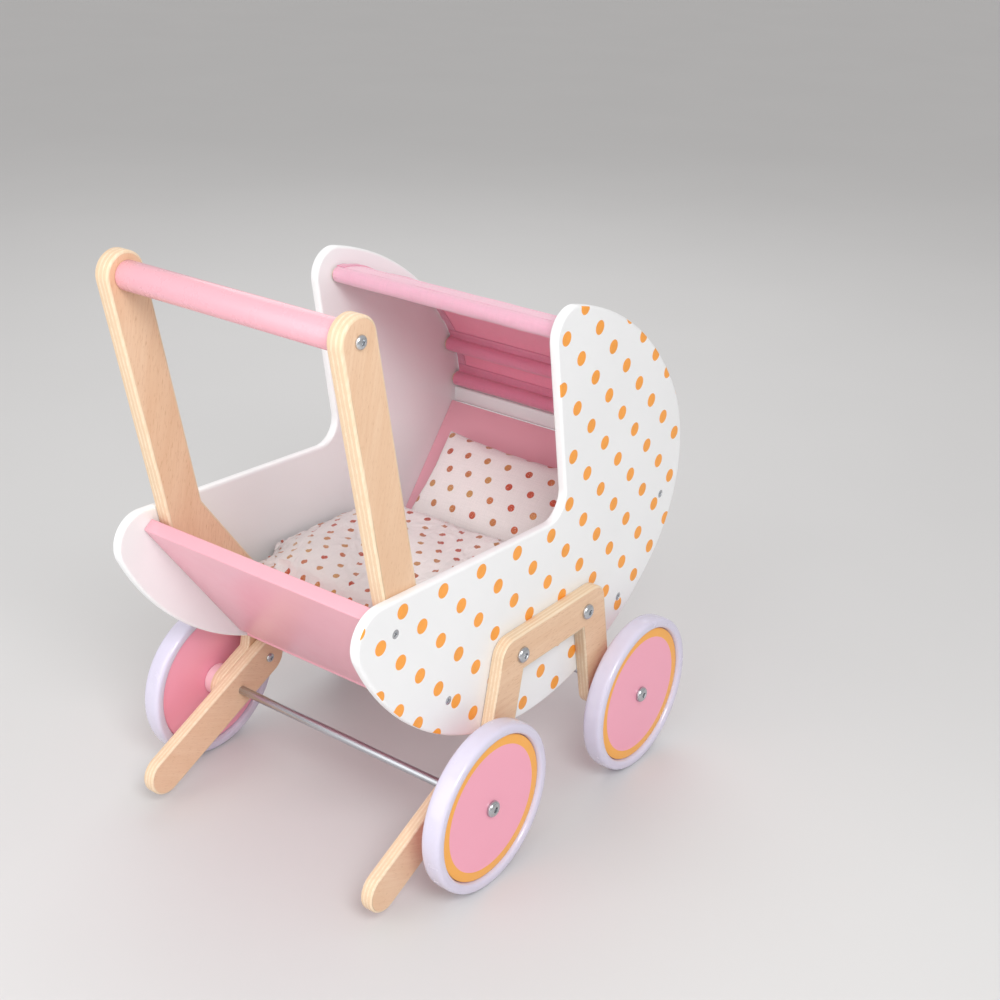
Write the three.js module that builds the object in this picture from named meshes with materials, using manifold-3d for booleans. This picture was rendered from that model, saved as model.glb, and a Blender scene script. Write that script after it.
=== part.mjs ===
// Wooden doll pram: two dotted side panels, a slatted cradle between them, a fabric hood, a plywood handle,
// and four wheels on two axles carried by plywood brackets with stop legs.
// Millimetres. X runs from the handle to the hood, Y to the left, Z up. Lengths along X are measured from
// the rear axle and heights from the floor; the last lines centre the whole on X = 0.
import * as THREE from 'three';
import { mergeVertices } from 'three/addons/utils/BufferGeometryUtils.js';
import Module from 'manifold-3d';

const wasm = await Module();
wasm.setup();

const radians = THREE.MathUtils.degToRad;

// Overall sizes
const gap = 0.3;                 // between pieces that touch
const looseFit = 0.25;           // radial clearance of a screw or rod in its hole
const wheelBase = 235;
const wheelRadius = 76.5;
const innerWidth = 254;          // between the side panels
const handleHeight = 506.5;      // middle of the handle bar above the floor

// Side panel outline: four tangent arcs, a rounded hood corner and a rounded notch
const panelThickness = 9;
const bodyDrop = 32.4;           // lowest point of the panel above the axles
const headReach = 200;           // centre of the head arc in front of the rear axle
const headRadius = 137;
const bellyRadius = 262;
const bellyMeetsHead = radians(-44.4);
const bellyMeetsNose = radians(205.8);
const crownRadius = 270;
const crownMeetsHead = radians(33.1);
const crownMeetsCorner = radians(77.5);
const hoodCornerRadius = 25;
const noseRadius = 28;
const notchRadius = 22;
const hoodLean = radians(10);    // front edge of the hood, back from upright
const rimFall = radians(2.9);    // top edge of the cradle, down towards the hood

// Boards of the cradle
const boardThickness = 12;
const floorThickness = 9;
const floorRise = 52;            // underside of the floor above the axles
const footSlope = radians(36.4); // from upright
const headSlope = radians(37.7);
const footTop = { x: 4, z: 14.6 };         // top of the foot board from the centre of the nose arc
const headTopAngle = radians(-4.7);        // top of the head board on the head arc
const headTopInset = 14.5;
const boardEndLift = 4.5;        // lower end of each sloping board above the floor panel
const sideRelief = gap;          // boards to side panels

// Hood
const fabricInset = 6;           // fabric inside the panel's edge
const fabricThickness = 2;
const fabricSideGap = 2;
const crownFabricMeets = radians(55);
const rodRadius = 5;
const sleeveWall = 2;
const sleeveEase = 0.6;          // sleeve loosely round its rod
const middleRodAngle = radians(28);
const rearRodAngle = radians(8);
const railAngle = radians(-0.5);
const railThickness = 9;
const railHeight = 16;
const railInset = 5.5;
const socketDepth = 5;           // rods and rail stand in blind sockets

// Handle
const uprightThickness = 15;
const uprightHalfWidth = 19;
const uprightLean = radians(12);
const bendBelowRim = 17.4;       // along the foot board, below its top edge
const uprightFootLift = 29;      // centre of the round foot above the floor panel
const barRadius = 12;
const fixingDown = 72;           // hidden upright screw below the bend

// Axle brackets and stop legs
const bracketThickness = 12;
const bracketHalfWidth = 18;
const kneeReach = 38;            // knee of the bracket from its axle
const shoulderReach = 57;
const shoulderRise = 112;
const boltReach = 68;
const boltRise = 110;
const legThickness = 12;
const legHalfWidth = 19;
const legTopClearance = 5.5;     // stop leg under the panel's edge
const legFloorClearance = 12;

// Wheels
const axleRadius = 4;
const discRadius = 66;
const discThickness = 12;
const tyreWidth = 19;
const tyreCrown = 5.5;           // rounding of the tyre's shoulders
const spacerLength = 10;
const spacerRadius = 15;
const runningClearance = 0.08;
const capRadius = 7.5;
const capHeight = 4.5;

// Fasteners
const bolt = { head: 7.25, dome: 4, shank: 3 };
const nut = { radius: 7, height: 5.5 };
const barScrew = { head: 5.5, dome: 3, shank: 2.5, length: 45 };
const legScrew = { head: 4.5, dome: 2.5, shank: 2, length: 19 };
const boardScrew = { head: 3.8, cone: 2.6, shank: 2, length: 32 };
const uprightScrew = { head: 4, cone: 2.8, shank: 2, length: 21 };
const footScrewPlaces = [19.7, 133];       // along the foot board from its top
const headScrewPlaces = [28, 134];

// Bedding
const mattressHeight = 45;
const mattressSideGap = 4;
const beddingGap = 6;            // from the sloping boards
const blanketSideGap = 4.5;
const pillowHalfWidth = 95;

// Worked-out places
const axleZ = wheelRadius;
const innerHalf = innerWidth / 2;
const panelOuter = innerHalf + panelThickness;
const bracketInner = panelOuter + gap;
const bracketOuter = bracketInner + bracketThickness;
const spacerInner = bracketOuter + gap;
const discInner = spacerInner + spacerLength + gap;
const discOuter = discInner + discThickness;
const uprightOuter = innerHalf - gap;
const uprightInner = uprightOuter - uprightThickness;
const floorBottom = axleZ + floorRise;
const floorTop = floorBottom + floorThickness;

const point = (x, z) => new THREE.Vector2(x, z);
const toward = (angle) => point(Math.cos(angle), Math.sin(angle));
const step = (from, direction, length) => from.clone().addScaledVector(direction, length);
const leftOf = (direction) => point(-direction.y, direction.x);

// Outline arc with about a third of a millimetre between chord and curve
function arcPoints(centre, radius, from, to) {
  const chordAngle = 2 * Math.acos(1 - 0.35 / radius);
  const count = Math.max(3, Math.ceil(Math.abs(to - from) / chordAngle));
  const points = [];
  for (let i = 0; i <= count; i++) {
    points.push(step(centre, toward(from + ((to - from) * i) / count), radius));
  }
  return points;
}

// Where the line from a along u meets the line from b along v
function crossing(a, u, b, v) {
  const between = b.clone().sub(a);
  const length = between.cross(v) / u.cross(v);
  return step(a, u, length);
}

// Centres of the panel's arcs
const headCentreZ = axleZ + bodyDrop + bellyRadius + (bellyRadius - headRadius) * Math.sin(bellyMeetsHead);
const headCentre = point(headReach, headCentreZ);
const bellyCentre = step(headCentre, toward(bellyMeetsHead), headRadius - bellyRadius);
const crownCentre = step(headCentre, toward(crownMeetsHead), headRadius - crownRadius);
const cornerCentre = step(crownCentre, toward(crownMeetsCorner), crownRadius - hoodCornerRadius);
const noseCentre = step(bellyCentre, toward(bellyMeetsNose), bellyRadius - noseRadius);

function panelOutline() {
  const down = toward(-Math.PI / 2 + hoodLean);
  const alongRim = toward(-rimFall);
  const frontFace = step(cornerCentre, leftOf(down), -hoodCornerRadius);
  const rimTop = step(noseCentre, leftOf(alongRim), noseRadius);
  const notchCentre = crossing(
    step(frontFace, leftOf(down), -notchRadius), down,
    step(rimTop, leftOf(alongRim), notchRadius), alongRim,
  );
  return [
    ...arcPoints(notchCentre, notchRadius, -Math.PI / 2 - rimFall, hoodLean),
    ...arcPoints(cornerCentre, hoodCornerRadius, Math.PI + hoodLean, crownMeetsCorner),
    ...arcPoints(crownCentre, crownRadius, crownMeetsCorner, crownMeetsHead).slice(1),
    ...arcPoints(headCentre, headRadius, crownMeetsHead, bellyMeetsHead).slice(1),
    ...arcPoints(bellyCentre, bellyRadius, bellyMeetsHead, bellyMeetsNose - 2 * Math.PI).slice(1),
    ...arcPoints(noseCentre, noseRadius, bellyMeetsNose, Math.PI / 2 - rimFall).slice(1),
  ];
}

const bellyHeight = (x) => bellyCentre.y - Math.sqrt(bellyRadius ** 2 - (x - bellyCentre.x) ** 2);

// A board seen from the side: a line from top to bottom with a thickness
function sheet(top, bottom, thickness) {
  const along = bottom.clone().sub(top).normalize();
  const half = leftOf(along).multiplyScalar(thickness / 2);
  return [
    top.clone().add(half),
    top.clone().sub(half),
    bottom.clone().sub(half),
    bottom.clone().add(half),
  ];
}

// A strip with round ends that follows a bent path, round outside each bend and mitred inside
function limb(path, half) {
  const directions = path.slice(1).map((end, i) => end.clone().sub(path[i]).normalize());
  const edge = (stations, headings) => stations.flatMap((station, i) => {
    const before = headings[i];
    const after = headings[i + 1];
    const turn = before.cross(after);
    const start = leftOf(before).angle();
    const end = start + Math.asin(turn);
    if (turn < 0) return arcPoints(station, half, start, end);
    return [crossing(step(station, leftOf(before), half), before, step(station, leftOf(after), half), after)];
  });
  const cap = (centre, heading) => {
    const start = leftOf(heading).angle();
    return arcPoints(centre, half, start, start - Math.PI);
  };
  const inner = path.slice(1, -1);
  const backwards = directions.map((direction) => direction.clone().negate()).reverse();
  return [
    ...edge(inner, directions),
    ...cap(path.at(-1), directions.at(-1)),
    ...edge([...inner].reverse(), backwards),
    ...cap(path[0], directions[0].clone().negate()),
  ];
}

// Solids
function toSolid(geometry) {
  const plain = geometry.clone();
  plain.deleteAttribute('normal');
  plain.deleteAttribute('uv');
  const merged = mergeVertices(plain, 1e-4);
  const corners = merged.index.array;
  const triangles = [];
  for (let i = 0; i < corners.length; i += 3) {
    const [a, b, c] = corners.subarray(i, i + 3);
    if (a !== b && b !== c && c !== a) triangles.push(a, b, c);
  }
  return new wasm.Manifold(new wasm.Mesh({
    numProp: 3,
    vertProperties: new Float32Array(merged.attributes.position.array),
    triVerts: new Uint32Array(triangles),
  }));
}

function toGeometry(solid) {
  const mesh = solid.getMesh();
  const geometry = new THREE.BufferGeometry();
  geometry.setAttribute('position', new THREE.BufferAttribute(mesh.vertProperties, 3));
  geometry.setIndex(new THREE.BufferAttribute(mesh.triVerts, 1));
  geometry.computeVertexNormals();
  return geometry;
}

// A side view pushed out along Y, from one distance off the middle to another
function plate(points, side, near, far) {
  const geometry = new THREE.ExtrudeGeometry(new THREE.Shape(points), { depth: far - near, bevelEnabled: false });
  geometry.rotateX(Math.PI / 2);
  geometry.translate(0, side > 0 ? far : -near, 0);
  return toSolid(geometry);
}

// A profile of [radius, distance off the middle] turned round an axis along Y
function turned(profile, side, centre, segments) {
  const points = profile.map(([radius, distance]) => point(radius, side * distance));
  if (side < 0) points.reverse();
  const geometry = new THREE.LatheGeometry(points, segments);
  geometry.translate(centre.x, 0, centre.y);
  return toSolid(geometry);
}

const pin = (radius, side, centre, near, far, segments = 12) => turned(
  [[0, near], [radius, near], [radius, far], [0, far]], side, centre, segments,
);

const ring = (inner, outer, side, centre, near, far, segments) => turned(
  [[inner, near], [outer, near], [outer, far], [inner, far], [inner, near]], side, centre, segments,
);

// A domed head standing off a face, with its shank running inwards or outwards from it
function domedScrew(size, side, centre, face, inwards) {
  const out = inwards ? 1 : -1;
  const seat = face + out * gap;
  const profile = [
    [0, seat - out * size.length],
    [size.shank, seat - out * size.length],
    [size.shank, seat],
    [size.head, seat],
    [size.head, seat + out * size.dome * 0.3],
    [size.head * 0.7, seat + out * size.dome * 0.8],
    [0, seat + out * size.dome],
  ];
  return turned(inwards ? profile : profile.reverse(), side, centre, 16);
}

// A countersunk screw flush with a face; grown makes the hole that it fits
function flushScrew(size, side, centre, face, inwards, grown = 0) {
  const out = inwards ? 1 : -1;
  const tip = face - out * (size.length + grown * 4);
  const top = face + out * grown;
  const profile = [
    [0, tip],
    [size.shank + grown, tip],
    [size.shank + grown, face - out * size.cone],
    [size.head + grown, face],
    [size.head + grown, top],
    [0, top],
  ].filter(([, distance], i, all) => i === 0 || grown > 0 || i !== all.length - 2);
  return turned(inwards ? profile : profile.reverse(), side, centre, 12);
}

const cut = (solid, tools) => tools.reduce((rest, tool) => rest.subtract(tool), solid);
const join = (solid, others) => others.reduce((sum, other) => sum.add(other), solid);

// Finishes
const finish = (color, roughness, metalness = 0) => ({ color, roughness, metalness });
const whitePaint = finish(0xf4f1ef, 0.35);
const pinkPaint = finish(0xf0bcc9, 0.4);
const plywood = finish(0xe8c39a, 0.55);
const steel = finish(0xc9cbd0, 0.25, 1);
const pinkFabric = finish(0xe99ab5, 0.85);
const tyrePlastic = finish(0xe8e4f0, 0.25);
const bedCotton = finish(0xf3eeee, 0.9);

const pram = new THREE.Group();

function add(name, solid, look, place = point(0, 0)) {
  const mesh = new THREE.Mesh(toGeometry(solid), new THREE.MeshStandardMaterial(look));
  mesh.name = name;
  mesh.position.set(place.x, 0, place.y);
  pram.add(mesh);
}

// Sloping boards and the floor between them
const footDirection = toward(-Math.PI / 2 + footSlope);
const headDirection = toward(-Math.PI / 2 - headSlope);
const atHeight = (start, direction, z) => step(start, direction, (z - start.y) / direction.y);
const footStart = point(noseCentre.x + footTop.x, noseCentre.y + footTop.z);
const headStart = step(headCentre, toward(headTopAngle), headRadius - headTopInset);
const footEnd = atHeight(footStart, footDirection, floorTop + boardEndLift);
const headEnd = atHeight(headStart, headDirection, floorTop + boardEndLift);
const footFace = step(footStart, leftOf(footDirection), boardThickness / 2);
const headFace = step(headStart, leftOf(headDirection), -boardThickness / 2);
const footScrewPoints = footScrewPlaces.map((place) => step(footStart, footDirection, place));
const headScrewPoints = headScrewPlaces.map((place) => step(headStart, headDirection, place));

// Hood rods lie under the fabric, the front one at the centre of the rounded corner
const fabricRadius = headRadius - fabricInset;
const rodArc = fabricRadius - fabricThickness - sleeveEase - rodRadius;
const rods = {
  front: cornerCentre,
  middle: step(headCentre, toward(middleRodAngle), rodArc),
  rear: step(headCentre, toward(rearRodAngle), rodArc),
};
const railCentre = step(headCentre, toward(railAngle), headRadius - railInset - railThickness / 2);

// Handle uprights: upper leg to the bar, lower leg flat against the foot board
const lowerLegStart = step(footFace, leftOf(footDirection), uprightHalfWidth + gap);
const bend = step(lowerLegStart, footDirection, bendBelowRim);
const upLeg = toward(Math.PI / 2 + uprightLean);
const barCentre = atHeight(bend, upLeg, handleHeight);
const uprightFoot = atHeight(bend, footDirection, floorTop + uprightFootLift);
const uprightFixing = step(bend, footDirection, fixingDown);

// Axles, brackets and stop legs; the knee passes just under the belly of the side panel
const rearAxle = point(0, axleZ);
const frontAxle = point(wheelBase, axleZ);
const knee = point(kneeReach, bellyHeight(kneeReach) - legHalfWidth - legTopClearance);
const legDirection = knee.clone().sub(rearAxle).normalize();
const legTip = atHeight(knee, legDirection, legFloorClearance + legHalfWidth);
const mirrored = (place) => point(wheelBase - place.x, place.y);
const shoulder = point(shoulderReach, axleZ + shoulderRise);
const bracketPath = [rearAxle, knee, shoulder, mirrored(shoulder), mirrored(knee), frontAxle];
const rearBolt = point(boltReach, axleZ + boltRise);
const bolts = { rear: rearBolt, front: mirrored(rearBolt) };
const boltLength = bracketOuter - innerHalf + nut.height - 2 * gap;

for (const { word, side } of [{ word: 'right', side: -1 }, { word: 'left', side: 1 }]) {
  const boltHoles = (near, far) => Object.values(bolts).map(
    (place) => pin(bolt.shank + looseFit, side, place, near, far),
  );
  const boardHoles = [...footScrewPoints, ...headScrewPoints].map(
    (place) => flushScrew(boardScrew, side, place, panelOuter, true, looseFit),
  );
  const rodSockets = Object.values(rods).map(
    (place) => pin(rodRadius + looseFit, side, place, innerHalf - 1, innerHalf + socketDepth),
  );
  const railSocket = plate(
    sheet(
      point(railCentre.x, railCentre.y + railHeight / 2 + looseFit),
      point(railCentre.x, railCentre.y - railHeight / 2 - looseFit),
      railThickness + 2 * looseFit,
    ),
    side, innerHalf - 1, innerHalf + socketDepth,
  );
  const fixingHole = flushScrew(uprightScrew, side, uprightFixing, uprightInner, false, looseFit);
  const panel = cut(
    plate(panelOutline(), side, innerHalf, panelOuter),
    [...boltHoles(innerHalf - 1, panelOuter + 1), ...boardHoles, ...rodSockets, railSocket, fixingHole],
  );
  add(`${word}_side_panel`, panel, whitePaint);

  const barHole = pin(barScrew.shank + looseFit, side, barCentre, uprightInner - 1, uprightOuter + 1);
  const upright = cut(
    plate(limb([barCentre, bend, uprightFoot], uprightHalfWidth), side, uprightInner, uprightOuter),
    [barHole, fixingHole],
  );
  add(`${word}_handle_upright`, upright, plywood);
  add(`${word}_handle_screw`, domedScrew(barScrew, side, barCentre, uprightOuter, true), steel);
  add(`${word}_upright_screw`, flushScrew(uprightScrew, side, uprightFixing, uprightInner, false), steel);

  const axleHoles = [rearAxle, frontAxle].map(
    (place) => pin(axleRadius + looseFit, side, place, innerHalf - legThickness, bracketOuter + 1, 16),
  );
  const legScrewHole = pin(
    legScrew.shank + looseFit, side, knee,
    panelOuter - legThickness - 1, panelOuter - legThickness - gap + legScrew.length + 0.5,
  );
  const bracket = cut(
    plate(limb(bracketPath, bracketHalfWidth), side, bracketInner, bracketOuter),
    [...boltHoles(bracketInner - 1, bracketOuter + 1), ...axleHoles, legScrewHole],
  );
  add(`${word}_axle_bracket`, bracket, plywood);
  const stopLeg = cut(
    plate(limb([knee, legTip], legHalfWidth), side, panelOuter - legThickness, panelOuter),
    [axleHoles[0], legScrewHole],
  );
  add(`${word}_stop_leg`, stopLeg, plywood);
  const legScrewSolid = domedScrew(legScrew, side, knee, panelOuter - legThickness, false);
  add(`${word}_stop_leg_screw`, legScrewSolid, steel);

  for (const [end, place] of Object.entries(bolts)) {
    const boltSolid = domedScrew({ ...bolt, length: boltLength }, side, place, bracketOuter, true);
    const nutFace = innerHalf - gap;
    const nutBack = nutFace - nut.height;
    const bore = bolt.shank + looseFit;
    const nutSolid = turned([
      [0, nutBack], [nut.radius * 0.8, nutBack], [nut.radius, nutBack + 1], [nut.radius, nutFace],
      [bore, nutFace], [bore, nutBack + 1], [0, nutBack + 1],
    ], side, place, 12);
    add(`${word}_${end}_bracket_bolt`, boltSolid, steel);
    add(`${word}_${end}_bracket_nut`, nutSolid, steel);
  }

  const boards = { foot: footScrewPoints, head: headScrewPoints };
  for (const [board, places] of Object.entries(boards)) {
    add(`${word}_${board}_screw_upper`, flushScrew(boardScrew, side, places[0], panelOuter, true), steel);
    add(`${word}_${board}_screw_lower`, flushScrew(boardScrew, side, places[1], panelOuter, true), steel);
  }

  // Wheels spin on the axle between a spacer and a cap
  for (const [end, axle] of [['rear', rearAxle], ['front', frontAxle]]) {
    const bore = axleRadius + runningClearance;
    const middle = (discInner + discOuter) / 2;
    const inside = middle - tyreWidth / 2;
    const outside = middle + tyreWidth / 2;
    const rim = discRadius + gap;
    const tyre = turned([
      [rim, inside + tyreCrown / 3],
      [rim + tyreCrown / 3, inside],
      [wheelRadius - tyreCrown, inside],
      [wheelRadius - tyreCrown * 0.3, inside + tyreCrown * 0.3],
      [wheelRadius, inside + tyreCrown],
      [wheelRadius, outside - tyreCrown],
      [wheelRadius - tyreCrown * 0.3, outside - tyreCrown * 0.3],
      [wheelRadius - tyreCrown, outside],
      [rim + tyreCrown / 3, outside],
      [rim, outside - tyreCrown / 3],
      [rim, inside + tyreCrown / 3],
    ], side, point(0, 0), 40);
    const capBase = discOuter + gap;
    const cap = turned([
      [0, capBase], [capRadius, capBase], [capRadius, capBase + capHeight * 0.3],
      [capRadius * 0.7, capBase + capHeight * 0.8], [0, capBase + capHeight],
    ], side, point(0, 0), 16);
    const disc = ring(bore, discRadius, side, point(0, 0), discInner, discOuter, 40);
    const spacer = ring(
      axleRadius + looseFit, spacerRadius, side, point(0, 0), spacerInner, spacerInner + spacerLength, 24,
    );
    add(`${word}_${end}_wheel_tyre`, tyre, tyrePlastic, axle);
    add(`${word}_${end}_wheel_disc`, disc, pinkPaint, axle);
    add(`${word}_${end}_axle_cap`, cap, steel, axle);
    add(`${word}_${end}_hub_spacer`, spacer, pinkPaint, axle);
  }
}

add('rear_axle', pin(axleRadius, 1, rearAxle, -discOuter, discOuter, 16), steel);
add('front_axle', pin(axleRadius, 1, frontAxle, -discOuter, discOuter, 16), steel);

// Boards between the side panels
const boardHalf = innerHalf - sideRelief;
const across = (points, half) => plate(points, 1, -half, half);
const boardScrewHoles = (places) => [-1, 1].flatMap(
  (side) => places.map((place) => flushScrew(boardScrew, side, place, panelOuter, true, looseFit)),
);
const footBoard = across(sheet(footStart, footEnd, boardThickness), boardHalf);
const headBoard = across(sheet(headStart, headEnd, boardThickness), boardHalf);
add('foot_panel', cut(footBoard, boardScrewHoles(footScrewPoints)), pinkPaint);
add('head_panel', cut(headBoard, boardScrewHoles(headScrewPoints)), pinkPaint);
const floorMiddle = (floorBottom + floorTop) / 2;
const floorLine = [point(footEnd.x + 4, floorMiddle), point(headEnd.x - 6, floorMiddle)];
add('floor_panel', across(sheet(...floorLine, floorThickness), boardHalf), pinkPaint);

// Hood rods, rail and fabric
const socketedHalf = innerHalf + socketDepth - gap;
for (const [word, place] of Object.entries(rods)) {
  add(`hood_rod_${word}`, pin(rodRadius, 1, place, -socketedHalf, socketedHalf), plywood);
}
const railTop = point(railCentre.x, railCentre.y + railHeight / 2);
const railBottom = point(railCentre.x, railCentre.y - railHeight / 2);
add('hood_rail', across(sheet(railTop, railBottom, railThickness), socketedHalf), whitePaint);

// The fabric runs flat off the front sleeve, over the crown and round the head to just above the rail
const sleeveInner = rodRadius + sleeveEase;
const sleeveOuter = sleeveInner + sleeveWall;
const fabricCrown = crownRadius - fabricInset;
const crownPoint = step(crownCentre, toward(crownFabricMeets), fabricCrown);
const sleeveTop = point(cornerCentre.x, cornerCentre.y + sleeveOuter);
const run = crownPoint.clone().sub(sleeveTop);
const frontRadius = run.lengthSq() / (2 * run.dot(toward(crownFabricMeets)) - 2 * run.y);
function fabricOutline() {
  const frontCentre = point(sleeveTop.x, sleeveTop.y - frontRadius);
  const fabricEnd = Math.asin((railTop.y + 1.5 - headCentre.y) / fabricRadius);
  const side = (inset) => [
    ...arcPoints(frontCentre, frontRadius - inset, Math.PI / 2, crownFabricMeets),
    ...arcPoints(crownCentre, fabricCrown - inset, crownFabricMeets, crownMeetsHead).slice(1),
    ...arcPoints(headCentre, fabricRadius - inset, crownMeetsHead, fabricEnd).slice(1),
  ];
  return [...side(0), ...side(fabricThickness).reverse()];
}
const fabricHalf = innerHalf - fabricSideGap;
const sleeves = Object.values(rods).map(
  (place) => ring(sleeveInner, sleeveOuter, 1, place, -fabricHalf, fabricHalf, 16),
);
const rodClearances = Object.values(rods).map(
  (place) => pin(sleeveInner, 1, place, -innerHalf, innerHalf, 16),
);
const fabric = cut(join(across(fabricOutline(), fabricHalf), sleeves), rodClearances);
add('hood_fabric', fabric, pinkFabric);

// Handle bar
const barHoles = [-1, 1].map((side) => pin(
  barScrew.shank + looseFit, side, barCentre, uprightOuter - barScrew.length - 1, innerHalf,
));
const barHalf = uprightInner - gap;
add('handle_bar', cut(pin(barRadius, 1, barCentre, -barHalf, barHalf, 24), barHoles), pinkPaint);

// Bedding, plain blocks of the right size
const behindFoot = (z, clear) => point(atHeight(footFace, footDirection, z).x + clear, z);
const beforeHead = (z, clear) => point(atHeight(headFace, headDirection, z).x - clear, z);
const mattressBase = floorTop + gap;
const mattressTop = mattressBase + mattressHeight;
const coverBase = mattressTop + 1;
const mattress = [
  behindFoot(mattressBase, beddingGap), beforeHead(mattressBase, beddingGap),
  beforeHead(mattressTop, beddingGap), behindFoot(mattressTop, beddingGap),
];
const blanket = [
  behindFoot(coverBase, beddingGap), point(178, coverBase), point(182, coverBase + 30),
  point(162, coverBase + 46), point(40, coverBase + 46), behindFoot(coverBase + 30, beddingGap),
];
const pillow = [
  point(184, coverBase), beforeHead(coverBase, beddingGap), beforeHead(coverBase + 58, beddingGap),
  point(262, coverBase + 74), point(222, coverBase + 66), point(196, coverBase + 34),
];
add('mattress', across(mattress.reverse(), uprightInner - mattressSideGap), bedCotton);
add('blanket', across(blanket.reverse(), uprightInner - blanketSideGap), bedCotton);
add('pillow', across(pillow.reverse(), pillowHalfWidth), bedCotton);

const reach = new THREE.Box3().setFromObject(pram);
pram.position.x = -(reach.min.x + reach.max.x) / 2;

export default pram;
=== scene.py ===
import math
import bpy
import bmesh
import numpy as np
from mathutils import Matrix, Vector, noise


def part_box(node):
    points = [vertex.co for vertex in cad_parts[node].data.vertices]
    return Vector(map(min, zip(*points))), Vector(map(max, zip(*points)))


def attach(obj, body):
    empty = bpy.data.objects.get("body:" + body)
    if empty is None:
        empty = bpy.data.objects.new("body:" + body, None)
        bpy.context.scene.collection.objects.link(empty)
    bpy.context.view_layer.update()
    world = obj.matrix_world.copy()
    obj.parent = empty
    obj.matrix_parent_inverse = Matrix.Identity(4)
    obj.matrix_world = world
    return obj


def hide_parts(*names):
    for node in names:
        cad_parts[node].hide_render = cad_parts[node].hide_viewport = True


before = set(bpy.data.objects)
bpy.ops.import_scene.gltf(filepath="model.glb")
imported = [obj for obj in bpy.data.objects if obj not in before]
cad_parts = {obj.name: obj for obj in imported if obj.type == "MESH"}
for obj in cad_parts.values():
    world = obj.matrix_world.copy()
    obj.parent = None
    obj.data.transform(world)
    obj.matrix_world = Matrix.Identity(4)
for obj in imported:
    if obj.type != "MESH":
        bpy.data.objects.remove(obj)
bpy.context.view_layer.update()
mm = 0.001
axleLow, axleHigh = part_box("rear_axle")
rearAxle = (axleLow + axleHigh) / 2     # everything below is laid out from here, in millimetres


def place(x, z, y=0.0):
    return Vector((rearAxle.x + x * mm, y * mm, rearAxle.z + z * mm))


# camera, light and floor
cameraFacts = {
    "spot": (-867.6, 773.5, -795.0), "forward": (0.7372, 0.5325, -0.4158), "roll": 2.0, "lens": 55.42,
}
cameraData = bpy.data.cameras.new("camera")
cameraData.sensor_width = 36
cameraData.lens = cameraFacts["lens"]
camera = bpy.data.objects.new("camera", cameraData)
camera.location = place(*cameraFacts["spot"])
camera.rotation_mode = "QUATERNION"
level = Vector(cameraFacts["forward"]).to_track_quat("-Z", "Y")
camera.rotation_quaternion = level @ Matrix.Rotation(
    math.radians(cameraFacts["roll"]), 3, "Z",
).to_quaternion()
bpy.context.scene.collection.objects.link(camera)
bpy.context.scene.camera = camera

studio = {
    "key": {"spot": (-900, 1500, -1300), "power": 22, "size": 0.8},
    "fill": {"spot": (-1350, 700, 120), "power": 10.5, "size": 1.5},
    "back": {"spot": (1300, 1500, 900), "power": 9, "size": 1.4},
}


def addLight(name, facts):
    lamp = bpy.data.lights.new(name, "AREA")
    lamp.energy = facts["power"]
    lamp.size = facts["size"]
    holder = bpy.data.objects.new(name, lamp)
    holder.location = place(*facts["spot"])
    holder.rotation_mode = "QUATERNION"
    holder.rotation_quaternion = (place(110, 120) - holder.location).to_track_quat("-Z", "Y")
    bpy.context.scene.collection.objects.link(holder)


for lightName, lightFacts in studio.items():
    addLight(lightName, lightFacts)
world = bpy.data.worlds.new("studio")
world.use_nodes = True
world.node_tree.nodes["Background"].inputs["Color"].default_value = (1.0, 0.98, 0.97, 1)
world.node_tree.nodes["Background"].inputs["Strength"].default_value = 0.6
bpy.context.scene.world = world
bpy.context.scene.view_settings.view_transform = "Standard"     # paint colours stay as they are named


# small helpers for shaders
def colour(r, g, b):
    return tuple(
        c / 12.92 if c <= 0.04045 else ((c + 0.055) / 1.055) ** 2.4 for c in (r / 255, g / 255, b / 255)
    ) + (1.0,)


def put(tree, kind, **settings):
    node = tree.nodes.new(kind)
    for name, value in settings.items():
        setattr(node, name, value)
    return node


def wire(tree, source, socket):
    if isinstance(source, (int, float)):
        socket.default_value = source
    elif isinstance(source, (tuple, Vector)):
        socket.default_value = source[:len(socket.default_value)]
    else:
        tree.links.new(source, socket)


def calc(tree, operation, a, b=0.0, c=0.0, clamp=False):
    node = put(tree, "ShaderNodeMath", operation=operation, use_clamp=clamp)
    for source, socket in zip((a, b, c), node.inputs):
        wire(tree, source, socket)
    return node.outputs[0]


def mixColour(tree, factor, a, b, blend="MIX"):
    node = put(tree, "ShaderNodeMix", data_type="RGBA", blend_type=blend)
    wire(tree, factor, node.inputs["Factor"])
    wire(tree, a, node.inputs[6])
    wire(tree, b, node.inputs[7])
    return node.outputs[2]


def mapped(tree, vector, location=(0, 0, 0), rotation=(0, 0, 0), scale=(1, 1, 1), kind="POINT"):
    node = put(tree, "ShaderNodeMapping", vector_type=kind)
    wire(tree, vector, node.inputs["Vector"])
    wire(tree, location, node.inputs["Location"])
    wire(tree, rotation, node.inputs["Rotation"])
    wire(tree, scale, node.inputs["Scale"])
    return node.outputs[0]


def grain(tree, vector, scale, detail=3.0, roughness=0.5, distortion=0.0):
    node = put(tree, "ShaderNodeTexNoise")
    wire(tree, vector, node.inputs["Vector"])
    wire(tree, scale, node.inputs["Scale"])
    wire(tree, detail, node.inputs["Detail"])
    wire(tree, roughness, node.inputs["Roughness"])
    wire(tree, distortion, node.inputs["Distortion"])
    return node.outputs["Fac"]


def spread(tree, value, low, high, newLow=0.0, newHigh=1.0):
    node = put(tree, "ShaderNodeMapRange")
    for source, socket in zip((value, low, high, newLow, newHigh), node.inputs):
        wire(tree, source, socket)
    return node.outputs[0]


def attribute(tree, name):
    return put(tree, "ShaderNodeAttribute", attribute_name=name).outputs["Fac"]


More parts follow.
